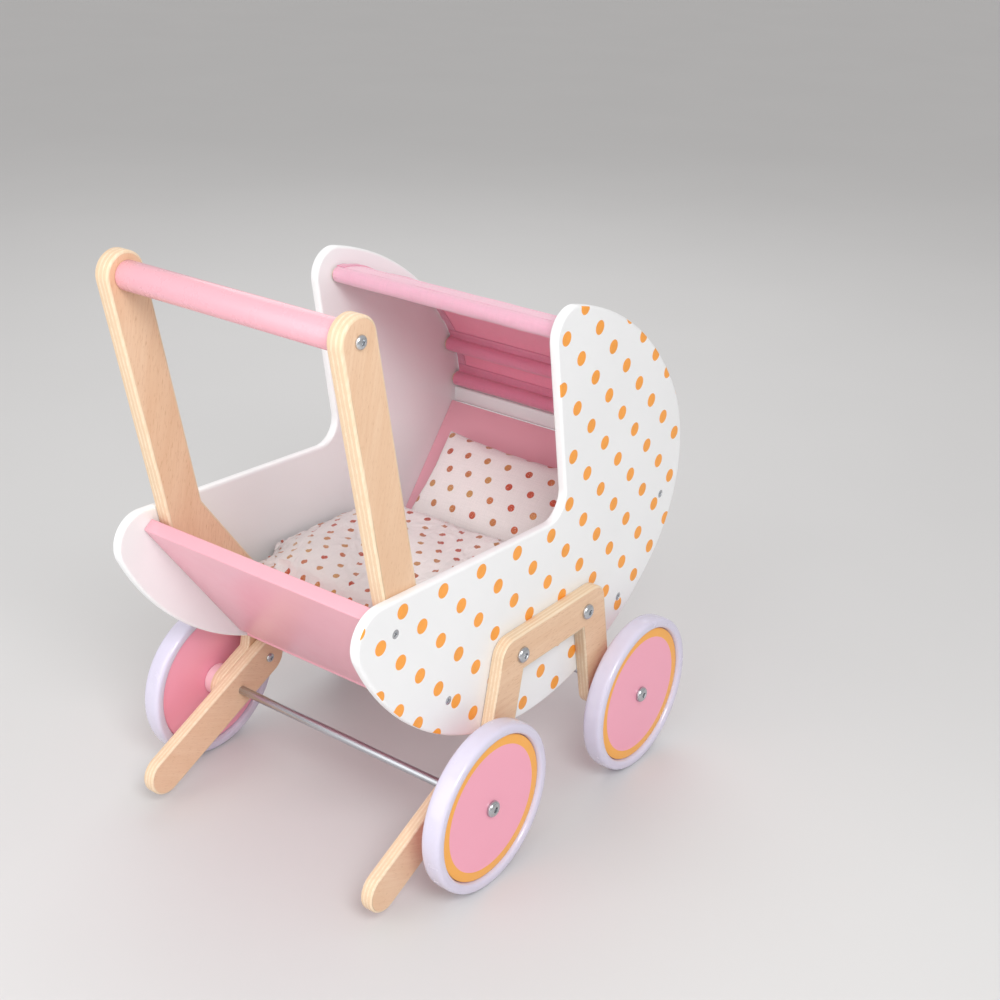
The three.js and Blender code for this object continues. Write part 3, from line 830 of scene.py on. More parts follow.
floorMiddle = (boards["floorBottom"] + boards["floorTop"]) / 2
floorThickness = boards["floorTop"] - boards["floorBottom"]
floorFoot = np.array((footEnd[0] + 4, floorMiddle))
floorHead = np.array((headEnd[0] - 6, floorMiddle))
railUp = np.array((0, hood["railHeight"] / 2))
boardShapes = {
    "footPanel": (
        easedBoard(footStart, footEnd, boards["thickness"]), palePink, "foot_panel", boards["halfWidth"],
    ),
    "headPanel": (
        easedBoard(headStart, headEnd, boards["thickness"]), palePink, "head_panel", boards["halfWidth"],
    ),
    "floorPanel": (
        easedBoard(floorFoot, floorHead, floorThickness), palePink, "floor_panel", boards["halfWidth"],
    ),
    "hoodRail": (
        easedBoard(railCentre + railUp, railCentre - railUp, hood["railThickness"], 2.0), whitePaint,
        "hood_rail", hood["rodHalf"],
    ),
}
for boardName, (shape, finish, node, reach) in boardShapes.items():
    board = sawnBoard(boardName, shape, -reach, reach, finish, 1, 0.4)
    board.data.attributes["edge"].data.foreach_set("value", [0.0] * len(board.data.polygons))
    smooth(board.data, 50)
    finished(board, "frame", node)


def turnedPiece(name, profile, side, centre, segments, material, bodyName, *replaced, angle=35):
    piece = meshPiece(name, turnedMesh(name, profile, side, centre, segments, angle), material)
    finished(piece, bodyName, *replaced)
    return piece


def easedRod(radius, half, ease=0.6):
    return [
        (0, -half), (radius - ease, -half), (radius - ease * 0.3, -half + ease * 0.3),
        (radius, -half + ease), (radius, half - ease), (radius - ease * 0.3, half - ease * 0.3),
        (radius - ease, half), (0, half),
    ]


turnedPiece(
    "handleBar", easedRod(handle["barRadius"], handle["barHalf"], 1.0), 1, barCentre, 64, barPink,
    "frame", "handle_bar",
)
axles = {"radius": 4, "half": 171}
for end, spot in (("rear", np.zeros(2)), ("front", frontAxle)):
    turnedPiece(
        end + "Axle", easedRod(axles["radius"], axles["half"]), 1, spot, 32, axleSteel, "frame",
        end + "_axle",
    )
for word, spot in rods.items():
    turnedPiece(
        word + "HoodRod", easedRod(hood["rod"], hood["rodHalf"]), 1, spot, 32, dowelWood, "frame",
        "hood_rod_" + word,
    )

wheel = {
    "tyre": 76.5, "rim": 66.3, "width": 19, "middle": 165, "disc": 66, "inner": 159, "outer": 171,
    "ring": 57.4, "bore": 4.09, "spacer": 15,
}


def tyreProfile():
    middle, half = (wheel["tyre"] + wheel["rim"]) / 2, (wheel["tyre"] - wheel["rim"]) / 2
    points = []
    for i in range(32):
        angle = 2 * math.pi * i / 32
        c, s = math.cos(angle), math.sin(angle)
        radius = middle + half * math.copysign(abs(s) ** 0.62, s)
        points.append((radius, wheel["middle"] + wheel["width"] / 2 * math.copysign(abs(c) ** 0.5, c)))
    return points + [points[0]]


discEdge, discBore, discBack, discFace = (wheel[key] for key in ("disc", "bore", "inner", "outer"))
discProfile = [
    (discBore, discBack), (discEdge - 4, discBack), (discEdge - 0.9, discBack),
    (discEdge, discBack + 0.9), (discEdge, discFace - 0.8), (discEdge - 0.3, discFace - 0.2),
    (discEdge - 1, discFace), (wheel["ring"], discFace), (30, discFace), (4.6, discFace),
    (discBore, discFace - 0.4), (discBore, discBack),
]
discBands = [0, 0, 0, 0, 1, 1, 1, 0, 0, 0, 0]
spacerEdge = wheel["spacer"]
spacerBack, spacerFace = brackets["outer"] + 0.3, discBack - 0.4
spacerProfile = [
    (4.3, spacerBack), (spacerEdge - 0.8, spacerBack), (spacerEdge, spacerBack + 0.8),
    (spacerEdge, spacerFace - 0.8), (spacerEdge - 0.8, spacerFace), (4.3, spacerFace), (4.3, spacerBack),
]
for word, side in sides.items():
    for end, spot in (("rear", np.zeros(2)), ("front", frontAxle)):
        node = f"{word}_{end}_"
        name = word + end.capitalize()
        bodyName = node + "wheel"
        turnedPiece(
            name + "Tyre", tyreProfile(), side, spot, 128, tyrePlastic, bodyName, node + "wheel_tyre",
            angle=60,
        )
        disc = meshPiece(
            name + "Disc", turnedMesh(name + "Disc", discProfile, side, spot, 128, 35, discBands),
            discPink,
        )
        disc.data.materials.append(ringGold)
        finished(disc, bodyName, node + "wheel_disc")
        turnedPiece(name + "Spacer", spacerProfile, side, spot, 48, hubPink, "frame", node + "hub_spacer")
print("wheels ready")


# Screw and bolt heads face along -Y here, their seat at the origin
def recessRadius(shape, size, angle):
    if shape == "hexagon":
        turn = (angle % (math.pi / 3)) - math.pi / 6
        return size * math.cos(math.pi / 6) / math.cos(turn)
    if shape == "cross":
        c, s = max(abs(math.cos(angle)), 1e-6), max(abs(math.sin(angle)), 1e-6)
        narrow = size * 0.3
        return max(min(size / c, narrow / s), min(narrow / c, size / s))
    return size


def headMesh(name, rings, material):
    segments = 48
    form = bmesh.new()
    loops = []
    for shape, size, out in rings:
        if size == 0:
            loops.append([form.verts.new((0, -out * mm, 0))])
            continue
        loop = []
        for i in range(segments):
            angle = 2 * math.pi * i / segments
            radius = recessRadius(shape, size, angle) * mm
            loop.append(form.verts.new((radius * math.sin(angle), -out * mm, radius * math.cos(angle))))
        loops.append(loop)
    for low, high in zip(loops, loops[1:]):
        for i in range(segments):
            j = (i + 1) % segments
            corners = [low[i % len(low)], low[j % len(low)], high[j % len(high)], high[i % len(high)]]
            form.faces.new(list(dict.fromkeys(corners)))
    bmesh.ops.recalc_face_normals(form, faces=form.faces)
    mesh = bpy.data.meshes.new(name)
    form.to_mesh(mesh)
    form.free()
    smooth(mesh, 32)
    return meshPiece(name, mesh, material)


def domedRings(radius, height, recess, depth):
    rim = recess * 1.25
    rings = [
        ("round", 0, -0.1), ("round", radius * 0.97, -0.1), ("round", radius, 0.15),
        ("round", radius, height * 0.22),
    ]
    for i in range(1, 6):
        angle = quarter * i / 7
        reach = rim + (radius - rim) * math.cos(angle * 1.4)
        rings.append(("round", reach, height * (0.22 + 0.78 * math.sin(angle * 1.4))))
    rings += [
        ("round", rim, height), ("hexagon", recess, height), ("hexagon", recess * 0.94, height - 0.25),
        ("hexagon", recess * 0.9, height - depth), ("round", 0, height - depth - 0.3),
    ]
    return rings


def flushRings(radius, shank, length, recess):
    return [
        ("round", 0, -length), ("round", shank, -length + 0.8), ("round", shank, shank - radius),
        ("round", radius, -0.35), ("round", radius, -0.12), ("round", radius - 0.35, 0.0),
        ("cross", recess, 0.05), ("cross", recess * 0.86, -0.6), ("round", recess * 0.25, -1.3),
        ("round", 0, -1.4),
    ]


def geometryTree(name, inputs):
    tree = bpy.data.node_groups.new(name, "GeometryNodeTree")
    tree.interface.new_socket(name="Geometry", in_out="INPUT", socket_type="NodeSocketGeometry")
    for label, kind, value in inputs:
        socket = tree.interface.new_socket(name=label, in_out="INPUT", socket_type="NodeSocket" + kind)
        if value is not None:
            socket.default_value = value
    tree.interface.new_socket(name="Geometry", in_out="OUTPUT", socket_type="NodeSocketGeometry")
    return tree, put(tree, "NodeGroupInput").outputs, put(tree, "NodeGroupOutput").inputs


def runTree(piece, tree, values):
    modifier = piece.modifiers.new(tree.name, "NODES")
    modifier.node_group = tree
    for item in tree.interface.items_tree:
        if item.in_out == "INPUT" and item.name in values:
            modifier[item.identifier] = values[item.name]
    return settle(piece)


# One head on every point, spun at random about its own axis and turned to face its side
fastenerTree, g, out = geometryTree(
    "place fasteners", [("Head", "Object", None), ("Finish", "Material", None), ("Seed", "Int", 1)],
)
headInfo = put(fastenerTree, "GeometryNodeObjectInfo")
wire(fastenerTree, g["Head"], headInfo.inputs["Object"])
spin = put(fastenerTree, "FunctionNodeRandomValue", data_type="FLOAT")
wire(fastenerTree, 6.283, spin.inputs[3])
wire(fastenerTree, g["Seed"], spin.inputs["Seed"])
facing = put(fastenerTree, "GeometryNodeInputNamedAttribute", data_type="FLOAT")
facing.inputs["Name"].default_value = "facing"
turning = put(fastenerTree, "ShaderNodeCombineXYZ")
wire(fastenerTree, spin.outputs[1], turning.inputs["Y"])
wire(fastenerTree, facing.outputs[0], turning.inputs["Z"])
setOn = put(fastenerTree, "GeometryNodeInstanceOnPoints")
wire(fastenerTree, g["Geometry"], setOn.inputs["Points"])
wire(fastenerTree, headInfo.outputs["Geometry"], setOn.inputs["Instance"])
wire(fastenerTree, turning.outputs[0], setOn.inputs["Rotation"])
real = put(fastenerTree, "GeometryNodeRealizeInstances")
wire(fastenerTree, setOn.outputs[0], real.inputs[0])
dressed = put(fastenerTree, "GeometryNodeSetMaterial")
wire(fastenerTree, real.outputs[0], dressed.inputs["Geometry"])
wire(fastenerTree, g["Finish"], dressed.inputs["Material"])
wire(fastenerTree, dressed.outputs[0], out["Geometry"])


def fasteners(name, rings, spots, seed, *replaced):
    head = headMesh(name + "Head", rings, boltSteel)
    mesh = bpy.data.meshes.new(name)
    mesh.from_pydata([place(x, z, side * y) for (x, z), y, side, inward in spots], [], [])
    facing = mesh.attributes.new("facing", "FLOAT", "POINT")
    facing.data.foreach_set(
        "value", [math.pi if (side > 0) != inward else 0.0 for _, _, side, inward in spots],
    )
    piece = runTree(
        meshPiece(name, mesh, boltSteel), fastenerTree, {"Head": head, "Finish": boltSteel, "Seed": seed},
    )
    bpy.data.objects.remove(head)
    finished(piece, "frame", *replaced)


both = (-1, 1)
heads = {
    "board": {"radius": 3.85, "shank": 2, "length": 8, "recess": 2.2},
    "upright": {"radius": 4.05, "shank": 2, "length": 12, "recess": 2.3},
    "handle": {"radius": 5.5, "height": 3, "recess": 2.2, "depth": 1.7},
    "bracket": {"radius": 7.25, "height": 4, "recess": 3.0, "depth": 2.2},
    "axleCap": {"radius": 7.5, "height": 4.5, "recess": 3.1, "depth": 2.4},
    "stopLeg": {"radius": 4.5, "height": 2.5, "recess": 1.9, "depth": 1.4},
}
fasteners(
    "boardScrews", flushRings(**heads["board"]),
    [(spot, panelOuter - 0.05, side, False) for side in both for spot in screwSpots], 3,
    *[
        f"{word}_{board}_screw_{end}" for word in sides for board in ("foot", "head")
        for end in ("upper", "lower")
    ],
)
fasteners(
    "uprightScrews", flushRings(**heads["upright"]),
    [(uprightFixing, handle["inner"] + 0.05, side, True) for side in both], 5, "right_upright_screw",
    "left_upright_screw",
)
fasteners(
    "handleScrews", domedRings(**heads["handle"]),
    [(barCentre, handle["outer"] + 0.1, side, False) for side in both], 8, "right_handle_screw",
    "left_handle_screw",
)
fasteners(
    "bracketBolts", domedRings(**heads["bracket"]),
    [(spot, brackets["outer"] + 0.1, side, False) for side in both for spot in boltSpots], 11,
    *[f"{word}_{end}_bracket_bolt" for word in sides for end in ("rear", "front")],
)
fasteners(
    "axleCaps", domedRings(**heads["axleCap"]),
    [(spot, wheel["outer"] + 0.2, side, False) for side in both for spot in (np.zeros(2), frontAxle)], 14,
    *[f"{word}_{end}_axle_cap" for word in sides for end in ("rear", "front")],
)
fasteners(
    "stopLegScrews", domedRings(**heads["stopLeg"]),
    [(knee, legs["inner"] - 0.1, side, True) for side in both], 17, "right_stop_leg_screw",
    "left_stop_leg_screw",
)
nutRings = [
    ("hexagon", 7, 0), ("hexagon", 7, 2.6), ("hexagon", 6.7, 3.0), ("round", 6.0, 3.0),
    ("round", 5.4, 4.2), ("round", 4.2, 5.0), ("round", 0, 5.2),
]
fasteners(
    "bracketNuts", [("round", 0, 0)] + nutRings,
    [(spot, panelInner - 0.1, side, True) for side in both for spot in boltSpots], 19,
    *[f"{word}_{end}_bracket_nut" for word in sides for end in ("rear", "front")],
)
print("fasteners ready")


# A thin closed shell from a grid of points, with the flat cut as its UV map
def clothShell(name, points, flat, thickness, material):
    points = np.array(points, float)
    rows, columns = points.shape[:2]
    alongRows = np.gradient(points, axis=0)
    alongColumns = np.gradient(points, axis=1)
    normal = np.cross(alongRows, alongColumns)
    normal /= np.linalg.norm(normal, axis=2)[:, :, None] + 1e-12
    outer = points + normal * thickness / 2
    inner = points - normal * thickness / 2
    vertices = np.concatenate((outer.reshape(-1, 3), inner.reshape(-1, 3)))
    second = rows * columns

    def at(i, j):
        return i * columns + j

    faces = []
    for i in range(rows - 1):
        for j in range(columns - 1):
            quad = (at(i, j), at(i + 1, j), at(i + 1, j + 1), at(i, j + 1))
            faces.append(quad)
            faces.append(tuple(second + k for k in reversed(quad)))
    border = [at(0, j) for j in range(columns)] + [at(i, columns - 1) for i in range(1, rows)]
    border += [at(rows - 1, j) for j in range(columns - 2, -1, -1)] + [
        at(i, 0) for i in range(rows - 2, 0, -1)
    ]
    for a, b in zip(border, border[1:] + border[:1]):
        faces.append((a, b, second + b, second + a))
    mesh = bpy.data.meshes.new(name)
    mesh.from_pydata(vertices.tolist(), [], faces)
    return clothFinish(
        name, mesh, np.concatenate([np.array(flat, float).reshape(-1, 2)] * 2), material,
        2 * (rows - 1) * (columns - 1),
    )


def clothFinish(name, mesh, flat, material, layered=0):
    inside = mesh.attributes.new("inside", "FLOAT", "FACE")
    inside.data.foreach_set(
        "value", [float(i % 2) if i < layered else 0.0 for i in range(len(mesh.polygons))],
    )
    uv = mesh.uv_layers.new(name="cut")
    corners = np.empty(len(mesh.loops), int)
    mesh.loops.foreach_get("vertex_index", corners)
    uv.data.foreach_set("uv", flat[corners].ravel())
    form = bmesh.new()
    form.from_mesh(mesh)
    volume = form.calc_volume(signed=True)
    if volume < 0:
        bmesh.ops.reverse_faces(form, faces=form.faces)
        form.to_mesh(mesh)
    form.free()
    smooth(mesh, 70)
    return meshPiece(name, mesh, material)


# Hood: one cloth from the front dowel over the crown to just above the rail
cloth = {"thickness": 1.2, "sag": 2.4, "hem": 9, "rows": 170, "columns": 90}
frontTop = rods["front"] + (0, hood["sleeve"])
crownRadius = body["crownRadius"] - hood["inset"]
headClothRadius = body["headRadius"] - hood["inset"]
meets = math.radians(hood["meets"])
run = crownCentre + toward(meets) * crownRadius - frontTop
frontRadius = run @ run / (2 * run @ toward(meets) - 2 * run[1])
endAngle = math.asin((railCentre[1] + 9.5 - headCentre[1]) / headClothRadius)
hoodLine = np.array([
    *arc(frontTop - (0, frontRadius), frontRadius, quarter, meets),
    *arc(crownCentre, crownRadius, meets, crownHead)[1:],
    *arc(headCentre, headClothRadius, crownHead, endAngle)[1:],
])


def runAlong(line):
    return np.concatenate(([0], np.cumsum(np.linalg.norm(np.diff(line, axis=0), axis=1))))


# The cloth eases over the places where one arc meets the next
def easedLine(line, window=12):
    lengths = runAlong(line)
    even = np.arange(0, lengths[-1], 1.0)
    fine = np.stack([np.interp(even, lengths, line[:, k]) for k in (0, 1)], 1)
    eased = [fine[max(0, i - reach):i + reach + 1].mean(0)
             for i in range(len(fine)) for reach in [min(window, i, len(fine) - 1 - i)]]
    return np.array(eased)


hoodLine = easedLine(hoodLine)
runLength = runAlong(hoodLine)
hoodLength = runLength[-1]


def nearestRun(spot):
    return runLength[np.argmin(np.linalg.norm(hoodLine - spot, axis=1))]


supports = [0, nearestRun(rods["middle"]), nearestRun(rods["rear"]), hoodLength]


half = hood["half"]


def hoodSpot(along, y, out=0.0):
    along = min(max(along, 0.0), hoodLength)
    base = np.array([np.interp(along, runLength, hoodLine[:, k]) for k in (0, 1)])
    ahead = np.array([np.interp(min(along + 2, hoodLength), runLength, hoodLine[:, k]) for k in (0, 1)])
    behind = np.array([np.interp(max(along - 2, 0), runLength, hoodLine[:, k]) for k in (0, 1)])
    normal = leftOf(unit(ahead - behind))
    sink = 0.0
    for start, end in zip(supports, supports[1:]):
        if start <= along <= end:
            share = (along - start) / (end - start)
            sink = cloth["sag"] * min(1.0, (end - start) / 150) * math.sin(math.pi * share) ** 2
    middle = 1 - abs(y / half) ** 3
    ripple = 0.5 * noise.noise(Vector((along * 0.012, y * 0.035, 3.1))) * middle
    pucker = 0.35 * math.sin(along / 4.2 + 2 * math.sin(along / 31)) * math.exp(-(half - abs(y)) / 6)
    spot = base + normal * (out - sink * (0.35 + 0.65 * middle) + ripple + pucker)
    return place(spot[0], spot[1], y)


hoodPoints = [
    [
        hoodSpot(
            hoodLength * i / cloth["rows"], -half + 2 * half * j / cloth["columns"],
            -cloth["thickness"] / 2,
        )
        for j in range(cloth["columns"] + 1)
    ]
    for i in range(cloth["rows"] + 1)
]
hoodFlat = [
    [
        ((-half + 2 * half * j / cloth["columns"]) * mm, hoodLength * i / cloth["rows"] * mm)
        for j in range(cloth["columns"] + 1)
    ]
    for i in range(cloth["rows"] + 1)
]
hoodCloth = clothShell("hoodCloth", hoodPoints, hoodFlat, cloth["thickness"] * mm, hoodCotton)


# Sleeves hold the dowels: strips sewn to the inside of the cloth
def sleeve(name, spot, support, front):
    ring = range(90, 320, 8) if front else range(62, 300, 8)
    before = () if front else (-15, -12, -9.5)
    after = (10, 13, 16, 20) if front else (9.5, 12, 15)
    start = 0.0 if front else angleOf(unit(spot - headCentre))
    under = -cloth["thickness"] - 0.8
    ringRadius = hood["sleeve"] - 0.8
    route = [("cloth", support + d) for d in before]
    route += [("ring", spot + ringRadius * toward(start + math.radians(a))) for a in ring]
    route += [("cloth", support + d) for d in after]
    reach = half - 0.6
    columns = 70
    points, flat = [], []
    travelled = 0.0
    last = None
    for kind, value in route:
        row = []
        for j in range(columns + 1):
            y = -reach + 2 * reach * j / columns
            if kind == "cloth":
                row.append(hoodSpot(value, y, under))
            else:
                slack = noise.noise(Vector((travelled * 0.12, y * 0.03, support))) * 0.55
                spotNow = value + unit(value - spot) * slack
                row.append(place(spotNow[0], spotNow[1], y))
        middle = row[columns // 2]
        travelled += 0 if last is None else (middle - last).length / mm
        last = middle
        points.append(row)
        flat.append(
            [((-reach + 2 * reach * j / columns) * mm, travelled * mm) for j in range(columns + 1)]
        )
    piece = clothShell(name, points, flat, 1.0 * mm, hoodCotton if front else hemCotton)
    if front:
        piece.data.attributes["inside"].data.foreach_set("value", [0.0] * len(piece.data.polygons))
    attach(piece, "frame")
    return piece


sleeves = [
    sleeve("frontSleeve", rods["front"], supports[0], True),
    sleeve("middleSleeve", rods["middle"], supports[1], False),
    sleeve("rearSleeve", rods["rear"], supports[2], False),
]


def hemStrip(name, side):
    wrap = [
        (-cloth["hem"], 0.35), (-6, 0.4), (-3, 0.4), (-0.4, 0.35), (0.35, -0.1), (0.5, -0.6),
        (0.35, -1.1), (-0.4, -1.55), (-3, -1.6), (-6, -1.6), (-cloth["hem"], -1.55),
    ]
    points, flat = [], []
    for i in range(cloth["rows"] + 1):
        along = hoodLength * i / cloth["rows"]
        points.append([hoodSpot(along, side * (half + offset), out) for offset, out in wrap])
        flat.append([(offset * mm + out * mm, along * mm) for offset, out in wrap])
    piece = clothShell(name, points, flat, 0.7 * mm, hemCotton)
    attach(piece, "frame")
    return piece


hems = [hemStrip("rightHem", -1), hemStrip("leftHem", 1)]

# Stitches: short threads laid along seam lines
stitchTree, g, out = geometryTree(
    "sew stitches",
    [
        ("Spacing", "Float", 0.0032), ("Length", "Float", 0.0011), ("Width", "Float", 0.0003),
        ("Thread", "Material", None),
    ],
)
seamCurve = put(stitchTree, "GeometryNodeMeshToCurve")
wire(stitchTree, g["Geometry"], seamCurve.inputs["Mesh"])
evenly = put(stitchTree, "GeometryNodeResampleCurve", mode="LENGTH")
wire(stitchTree, seamCurve.outputs[0], evenly.inputs["Curve"])
wire(stitchTree, g["Spacing"], evenly.inputs["Length"])
heading = put(stitchTree, "GeometryNodeInputTangent")
turned = put(stitchTree, "FunctionNodeAlignRotationToVector", axis="Z")
wire(stitchTree, heading.outputs[0], turned.inputs["Vector"])
thread = put(stitchTree, "GeometryNodeMeshUVSphere")
thread.inputs["Segments"].default_value = 6
thread.inputs["Rings"].default_value = 5
thread.inputs["Radius"].default_value = 1.0
threadSize = put(stitchTree, "ShaderNodeCombineXYZ")
for axis, label in (("X", "Width"), ("Y", "Width"), ("Z", "Length")):
    wire(stitchTree, g[label], threadSize.inputs[axis])
sewn = put(stitchTree, "GeometryNodeInstanceOnPoints")
wire(stitchTree, evenly.outputs[0], sewn.inputs["Points"])
wire(stitchTree, thread.outputs["Mesh"], sewn.inputs["Instance"])
wire(stitchTree, turned.outputs[0], sewn.inputs["Rotation"])
wire(stitchTree, threadSize.outputs[0], sewn.inputs["Scale"])
realStitches = put(stitchTree, "GeometryNodeRealizeInstances")
wire(stitchTree, sewn.outputs[0], realStitches.inputs[0])
threaded = put(stitchTree, "GeometryNodeSetMaterial")
wire(stitchTree, realStitches.outputs[0], threaded.inputs["Geometry"])
wire(stitchTree, g["Thread"], threaded.inputs["Material"])
wire(stitchTree, threaded.outputs[0], out["Geometry"])


def sewingThread(name, base):
    material, tree, inputs = newMaterial(name)
    twist = grain(tree, mapped(tree, objectCoordinates(tree), scale=(1, 1, 1)), 2600.0, 2)
    wire(
        tree, mixColour(tree, twist, base, tuple(c * 0.75 for c in base[:3]) + (1.0,)),
        inputs["Base Color"],
    )
    inputs["Roughness"].default_value = 0.7
    bump(tree, inputs, twist, 0.0001, 0.5)
    return material


pinkThread = sewingThread("pink thread", colour(244, 176, 200))
whiteThread = sewingThread("white thread", colour(250, 246, 242))


def stitches(name, lines, threadMaterial, spacing=0.0032):
    vertices, edges = [], []
    for line in lines:
        first = len(vertices)
        vertices += [tuple(p) for p in line]
        edges += [(first + i, first + i + 1) for i in range(len(line) - 1)]
    mesh = bpy.data.meshes.new(name)
    mesh.from_pydata(vertices, edges, [])
    piece = runTree(
        meshPiece(name, mesh, threadMaterial), stitchTree, {"Spacing": spacing, "Thread": threadMaterial},
    )
    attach(piece, "frame")
    return piece


seamLines = []
for side in both:
    for out in (0.85, -2.05):
        seamLines.append([hoodSpot(hoodLength * i / 160, side * (half - 7), out) for i in range(161)])
for along in (17, supports[1] - 12, supports[1] + 12, supports[2] - 12, supports[2] + 12, hoodLength - 5):
    seamLines.append([hoodSpot(along, y, 0.1) for y in range(-114, 115, 4)])
hoodStitches = stitches("hoodStitches", seamLines, pinkThread)
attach(hoodCloth, "frame")
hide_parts("hood_fabric")


# Bedding
bed = {
    "base": 61.4, "top": 106, "halfWidth": 107.7, "gap": 6, "edge": 9, "crown": 2.5, "pillowLength": 104,
    "pillowWidth": 186, "pillowHeight": 40, "pillowSlope": 46, "pillowSpot": (239, 149), "coverEnd": 181,
    "coverBase": 107.6, "coverHeight": 43, "coverLow": 8,
}


def behindFoot(z):
    return atHeight(footFace, footWay, z)[0] + bed["gap"]


def beforeHead(z):
    return atHeight(headFace, headWay, z)[0] - bed["gap"]


def paddedMesh(name, loops, material):
    form = bmesh.new()
    layer = form.loops.layers.uv.new("cut")
    made = [[form.verts.new(place(x, z, y)) for x, y, z in loop] for loop in loops]
    count = len(made[0])
    for low, high in zip(made, made[1:]):
        for i in range(count):
            j = (i + 1) % count
            form.faces.new((low[i], low[j], high[j], high[i]))
    form.faces.new(made[0][::-1])
    form.faces.new(made[-1])
    bmesh.ops.recalc_face_normals(form, faces=form.faces)
    for face in form.faces:
        for corner in face.loops:
            co = corner.vert.co
            corner[layer].uv = (co.x + 0.3 * co.z, co.y + 0.3 * co.z)
    mesh = bpy.data.meshes.new(name)
    form.to_mesh(mesh)
    form.free()
    smooth(mesh, 60)
    return meshPiece(name, mesh, material)


def mattressLoops():
    levels = []
    edge, low, high = bed["edge"], bed["base"], bed["top"]
    heights = [low + edge * (1 - math.cos(quarter * i / 5)) for i in range(6)]
    heights += [low + edge + (high - low - 2 * edge) * i / 6 for i in range(1, 6)]
    heights += [high - edge * (1 - math.sin(quarter * i / 5)) for i in range(6)]
    for z in heights:
        near = min(z - low, high - z, edge)
        inset = edge - math.sqrt(max(0.0, edge ** 2 - (edge - near) ** 2))
        levels.append((z, inset))
    levels += [
        (high + bed["crown"] * (1 - (1 - share) ** 2), edge + share * 90)
        for share in (0.04, 0.1, 0.2, 0.35, 0.55, 0.8, 1.0)
    ]
    loops = []
    for z, inset in levels:
        flatZ = min(z, high)
        low0, high0 = behindFoot(flatZ) + inset, beforeHead(flatZ) - inset
        halfWidth = bed["halfWidth"] - inset
        angles = [2 * math.pi * i / 160 for i in range(160)]
        centre, reach = (low0 + high0) / 2, (high0 - low0) / 2
        loop = []
        for angle in angles:
            c, s = math.cos(angle), math.sin(angle)
            power = 2 / 9
            x = centre + reach * math.copysign(abs(c) ** power, c)
            y = halfWidth * math.copysign(abs(s) ** power, s)
            dent = 0.5 * noise.noise(Vector((x * 0.03, y * 0.03, z * 0.05)))
            loop.append((x, y, z + (dent if inset >= edge else 0)))
        loops.append(loop)
    return loops


mattress = paddedMesh("mattressPad", mattressLoops(), tickCotton)
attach(mattress, "frame")
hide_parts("mattress")


# Runs Blender's cloth on a piece and keeps the result; no point moves further than the cap
def simulateCloth(piece, settings, obstacles, frames, cap):
    scene = bpy.context.scene
    before = np.array([v.co for v in piece.data.vertices])
    cloth = piece.modifiers.new("cloth", "CLOTH")
    for name, value in settings.items():
        setattr(cloth.settings, name, value)
    cloth.settings.effector_weights.gravity = 0.0 if settings.get("use_pressure") else 1.0
    cloth.collision_settings.use_self_collision = False
    cloth.collision_settings.distance_min = 0.002
    for obstacle in obstacles:
        obstacle.modifiers.new("solid", "COLLISION")
        obstacle.collision.thickness_outer = 0.001
        obstacle.collision.cloth_friction = 8
    scene.frame_start, scene.frame_end = 1, frames
    cloth.point_cache.frame_start, cloth.point_cache.frame_end = 1, frames
    for frameNumber in range(1, frames + 1):
        scene.frame_set(frameNumber)
    bpy.context.view_layer.update()
    shaped = piece.evaluated_get(bpy.context.evaluated_depsgraph_get())
    after = np.array([v.co for v in shaped.data.vertices])
    piece.modifiers.clear()
    scene.frame_set(1)
    move = after - before
    length = np.linalg.norm(move, axis=1)
    move *= np.minimum(1.0, cap / np.maximum(length, 1e-9))[:, None]
    piece.data.vertices.foreach_set("co", (before + move).ravel())
    piece.data.update()
    return float(length.max())


def eased(value):
    value = min(max(value, 0.0), 1.0)
    return math.sin(quarter * value) ** 0.8


# Quilt over the mattress: its filling sets the height and the cotton wrinkles over it
cover = {"rows": 92, "columns": 100, "slack": 0.14, "frames": 30}


def coverPlan(s, t):
    foot = behindFoot(bed["coverBase"] + 14) - 1
    x = foot + (bed["coverEnd"] - foot) * s
    wide = 107.0 + 12.5 * min(max((x - 34) / 14, 0.0), 1.0)
    wide -= 4.0 * math.sin(math.pi * s) * min(max((x - 40) / 60, 0), 1)
    bow = 5 * math.cos(quarter * t) * s ** 6
    return x + bow, wide * t


def coverHeight(x, y, s, t):
    footEase = eased(s * 7)
    headEase = eased((1 - s) * 5.5)
    sideEase = eased((1 - abs(t)) * 2.1)
    mound = 0.42 + 0.58 * sideEase
    lump = 5.0 * noise.noise(Vector((x * 0.016, y * 0.02, 4.0)))
    rise = bed["coverHeight"] * footEase * headEase * mound + lump * footEase * headEase
    return bed["coverBase"] + bed["coverLow"] + rise


rows, columns = cover["rows"], cover["columns"]
coverTop, coverFlat = [], []
for i in range(rows + 1):
    for j in range(columns + 1):
        s, t = i / rows, 2 * j / columns - 1
        x, y = coverPlan(s, t)
        coverTop.append(place(x, coverHeight(x, y, s, t), y))
        coverFlat.append((s * 0.262, t * 0.148))
quads = [
    (
        i * (columns + 1) + j, (i + 1) * (columns + 1) + j, (i + 1) * (columns + 1) + j + 1,
        i * (columns + 1) + j + 1,
    )
    for i in range(rows) for j in range(columns)
]
fillingMesh = bpy.data.meshes.new("filling")
fillingMesh.from_pydata([(p.x, p.y, p.z - 0.0045) for p in coverTop], [], quads)
filling = meshPiece("filling", fillingMesh, bedCotton)
draped = bpy.data.meshes.new("draped")
draped.from_pydata(coverTop, [], quads)
drapedPiece = meshPiece("draped", draped, bedCotton)
held = drapedPiece.vertex_groups.new(name="held")
held.add(
    [
        k for k in range(len(coverTop))
        if k % (columns + 1) in (0, columns) or k <= columns or k >= rows * (columns + 1)
    ],
    1.0, "REPLACE",
)
